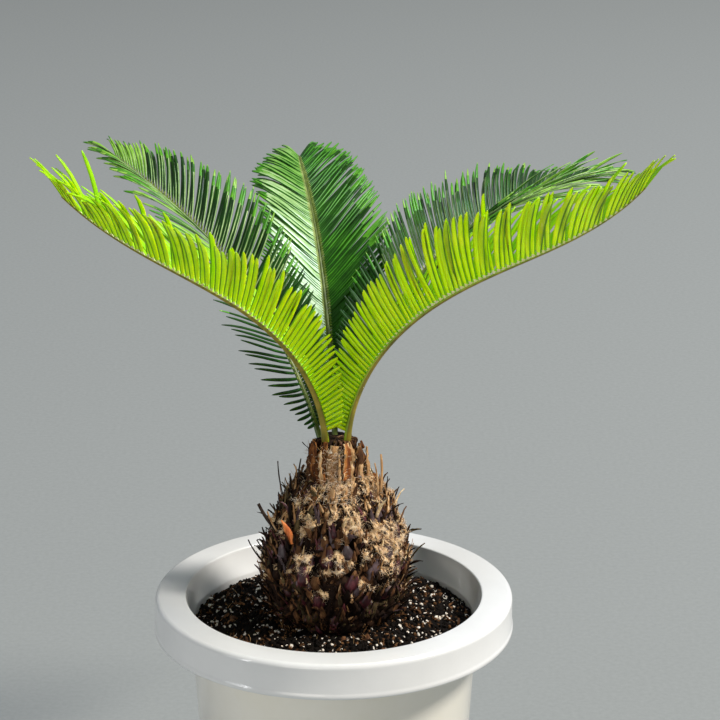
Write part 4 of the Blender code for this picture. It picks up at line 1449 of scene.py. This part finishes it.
def make_rib(name, frond, frames, finishes):
    """The rachis: round below, flatter above, with its foot down in the crown. Its finishes are
    that of its underside and that of its upper side."""
    points, along, left, face = frames
    shares = np.linspace(0, 1, RIB_STATIONS)
    spine, run = at(points, shares), at(along, shares)
    side, up = at(left, shares), at(face, shares)
    thick = RIB_RADIUS * (YOUNG_RIB_SLIM if frond["young"] else MATURE_RIB_SLIM)
    radius = RIB_TIP_RADIUS + (thick - RIB_TIP_RADIUS) * (1 - shares) ** 1.5
    radius = radius * (1 + 0.15 * np.exp(-shares / 0.04))
    root = [spine[0] - run[0] * RIB_ROOT * k for k in (1.0, 0.5)]
    spine = np.vstack([root, spine])
    side, up = (np.vstack([v[:1], v[:1], v]) for v in (side, up))
    radius = np.concatenate([radius[:1] * 1.1, radius[:1] * 1.05, radius])
    angles = (np.arange(RIB_SIDES) + 0.5) * 2 * pi / RIB_SIDES
    flat = np.where(np.sin(angles) > 0, RIB_CHANNEL, 1.0)
    rings = rings_along(spine, side, up, np.cos(angles) * radius[:, None],
                        np.sin(angles) * flat * radius[:, None])
    slots = np.zeros((len(spine) - 1, RIB_SIDES), int)
    slots[:, :RIB_SIDES // 2] = 1
    heap = Heap()
    heap.take_loft(rings, slots)
    return heap.piece(name.replace("frond", "rib"), finishes)


def young_finishes():
    """A young frond's leaflets' finishes, in the order of their numbers."""
    return [young_upper(), young_under(), young_base(), young_under_deep()]


def old_finishes():
    """The same for a mature frond that hangs to one side."""
    return [dark_upper(), dark_under(), old_base(), dark_under(), dark_middle(), dark_tip(),
            margin_highlight(), dark_tip(), shaded_upper()]


def standing_finishes():
    """The same for the mature frond that stands up, with its face to the light; its rows take a lit and a
    shaded copy of one green, painted light and shade.
    """
    return [shaded_upper(), dark_middle(), old_base(), dark_under(), dark_middle(), dark_middle(),
            mid_edge_highlight(), lit_upper(), shaded_upper(), painted_sheen_upper(), green_upper()]


def make_leaflets(name, frond, frames, finishes, rng):
    """Both rows of a frond's leaflets as one piece, the rows out of step with each other."""
    heap = Heap()
    for row, side in zip(frond["rows"], (1, -1)):
        for i in range(row["leaflets"]):
            share = leaflet_share((i + 0.25 * (1 + side)) / row["leaflets"])
            heap.take_loft(leaflet_rings(frond, row, frames, share, side, rng),
                           leaflet_slots(frond, row, share, side, rng))
    return heap.piece(name.replace("frond", "leaflets"), finishes)


def make_fronds():
    """Each frond is a rib and its leaflets, and the leaflets stand for the frond's solid."""
    finishes = {"frond_front_left": young_finishes, "frond_front_right": young_finishes,
                "frond_back_left": old_finishes, "frond_back_centre": standing_finishes,
                "frond_back_right": old_finishes}
    for seed, (name, frond) in enumerate(FRONDS.items(), 100):
        rng = np.random.default_rng(seed)
        frames = rib_frames(frond)
        if frond["young"]:
            slot, rib_finishes = "young_frond", [young_rib(), young_rib_top()]
        else:
            slot, rib_finishes = "dark_frond", [old_rib(), old_rib_top()]
        dress(make_rib(name, frond, frames, rib_finishes), slot)
        dress(make_leaflets(name, frond, frames, finishes[name](), rng), slot, name)


# ---------------------------------------------------------------- the studio
def make_floor():
    """A plain pale floor with the finest grain."""
    mesh = bpy.data.meshes.new("studio_floor")
    size = 9.0
    mesh.from_pydata([(-size, -size, 0), (size, -size, 0), (size, size, 0), (-size, size, 0)], [],
                     [(0, 1, 2, 3)])
    finish = finish_of("pale_studio_floor", ("888c8b", "8e9291"), 5, 0.9)
    show("studio_floor", mesh, [finish])


def area_light(name, place, aim, size, power, colour="ffffff", size_y=None):
    """A square lamp, or an oblong one where size_y is given, turned towards aim."""
    lamp = bpy.data.lights.new(name, "AREA")
    lamp.shape = "RECTANGLE"
    lamp.size = size
    lamp.size_y = size_y or size
    lamp.energy = power
    lamp.color = srgb(colour)[:3]
    made = bpy.data.objects.new(name, lamp)
    made.location = place
    made.rotation_euler = (Vector(aim) - Vector(place)).to_track_quat("-Z", "Y").to_euler()
    bpy.context.scene.collection.objects.link(made)


def make_lights():
    """A large key from the right, high up, weak ones from the front and the left, a cool one
    overhead that shines on the leaves, and a narrow strip that draws a line down the pot."""
    area_light("key", (7.1, -1.7, 8.0), (0, 0, 0.3), 2.0, 1420, "fff8ee")
    area_light("front", (-2.6, -8.0, 1.5), (0, 0, 0.2), 4.0, 94, "fff8ea")
    area_light("left", (-5.0, -3.0, 0.6), (0, 0, 0.15), 1.6, 24, "fafcff")
    area_light("overhead", (1.6, 2.0, 6.6), (0, 0, 0.3), 2.4, 240, "e6efff")
    area_light("strip", (-1.3, -1.0, 0.5), (0, 0, 0.15), 0.05, 3.5, size_y=1.2)
    world = bpy.data.worlds.new("studio")
    world.use_nodes = True
    sky = world.node_tree.nodes["Background"]
    sky.inputs["Color"].default_value = srgb("dfe3e8")
    sky.inputs["Strength"].default_value = 0.24
    bpy.context.scene.world = world


def make_camera():
    """A long lens that looks down on the pot's rim."""
    lens = bpy.data.cameras.new("camera")
    lens.lens = LENS_MM
    lens.sensor_width = 36.0
    made = bpy.data.objects.new("camera", lens)
    made.location = CAMERA_PLACE
    made.rotation_euler = (radians(CAMERA_TILT), 0, 0)
    bpy.context.scene.collection.objects.link(made)
    bpy.context.scene.camera = made


make_camera()
make_lights()
make_floor()
make_pot()
make_soil()
make_trunk()
make_fronds()
bpy.context.scene.view_settings.view_transform = "Standard"
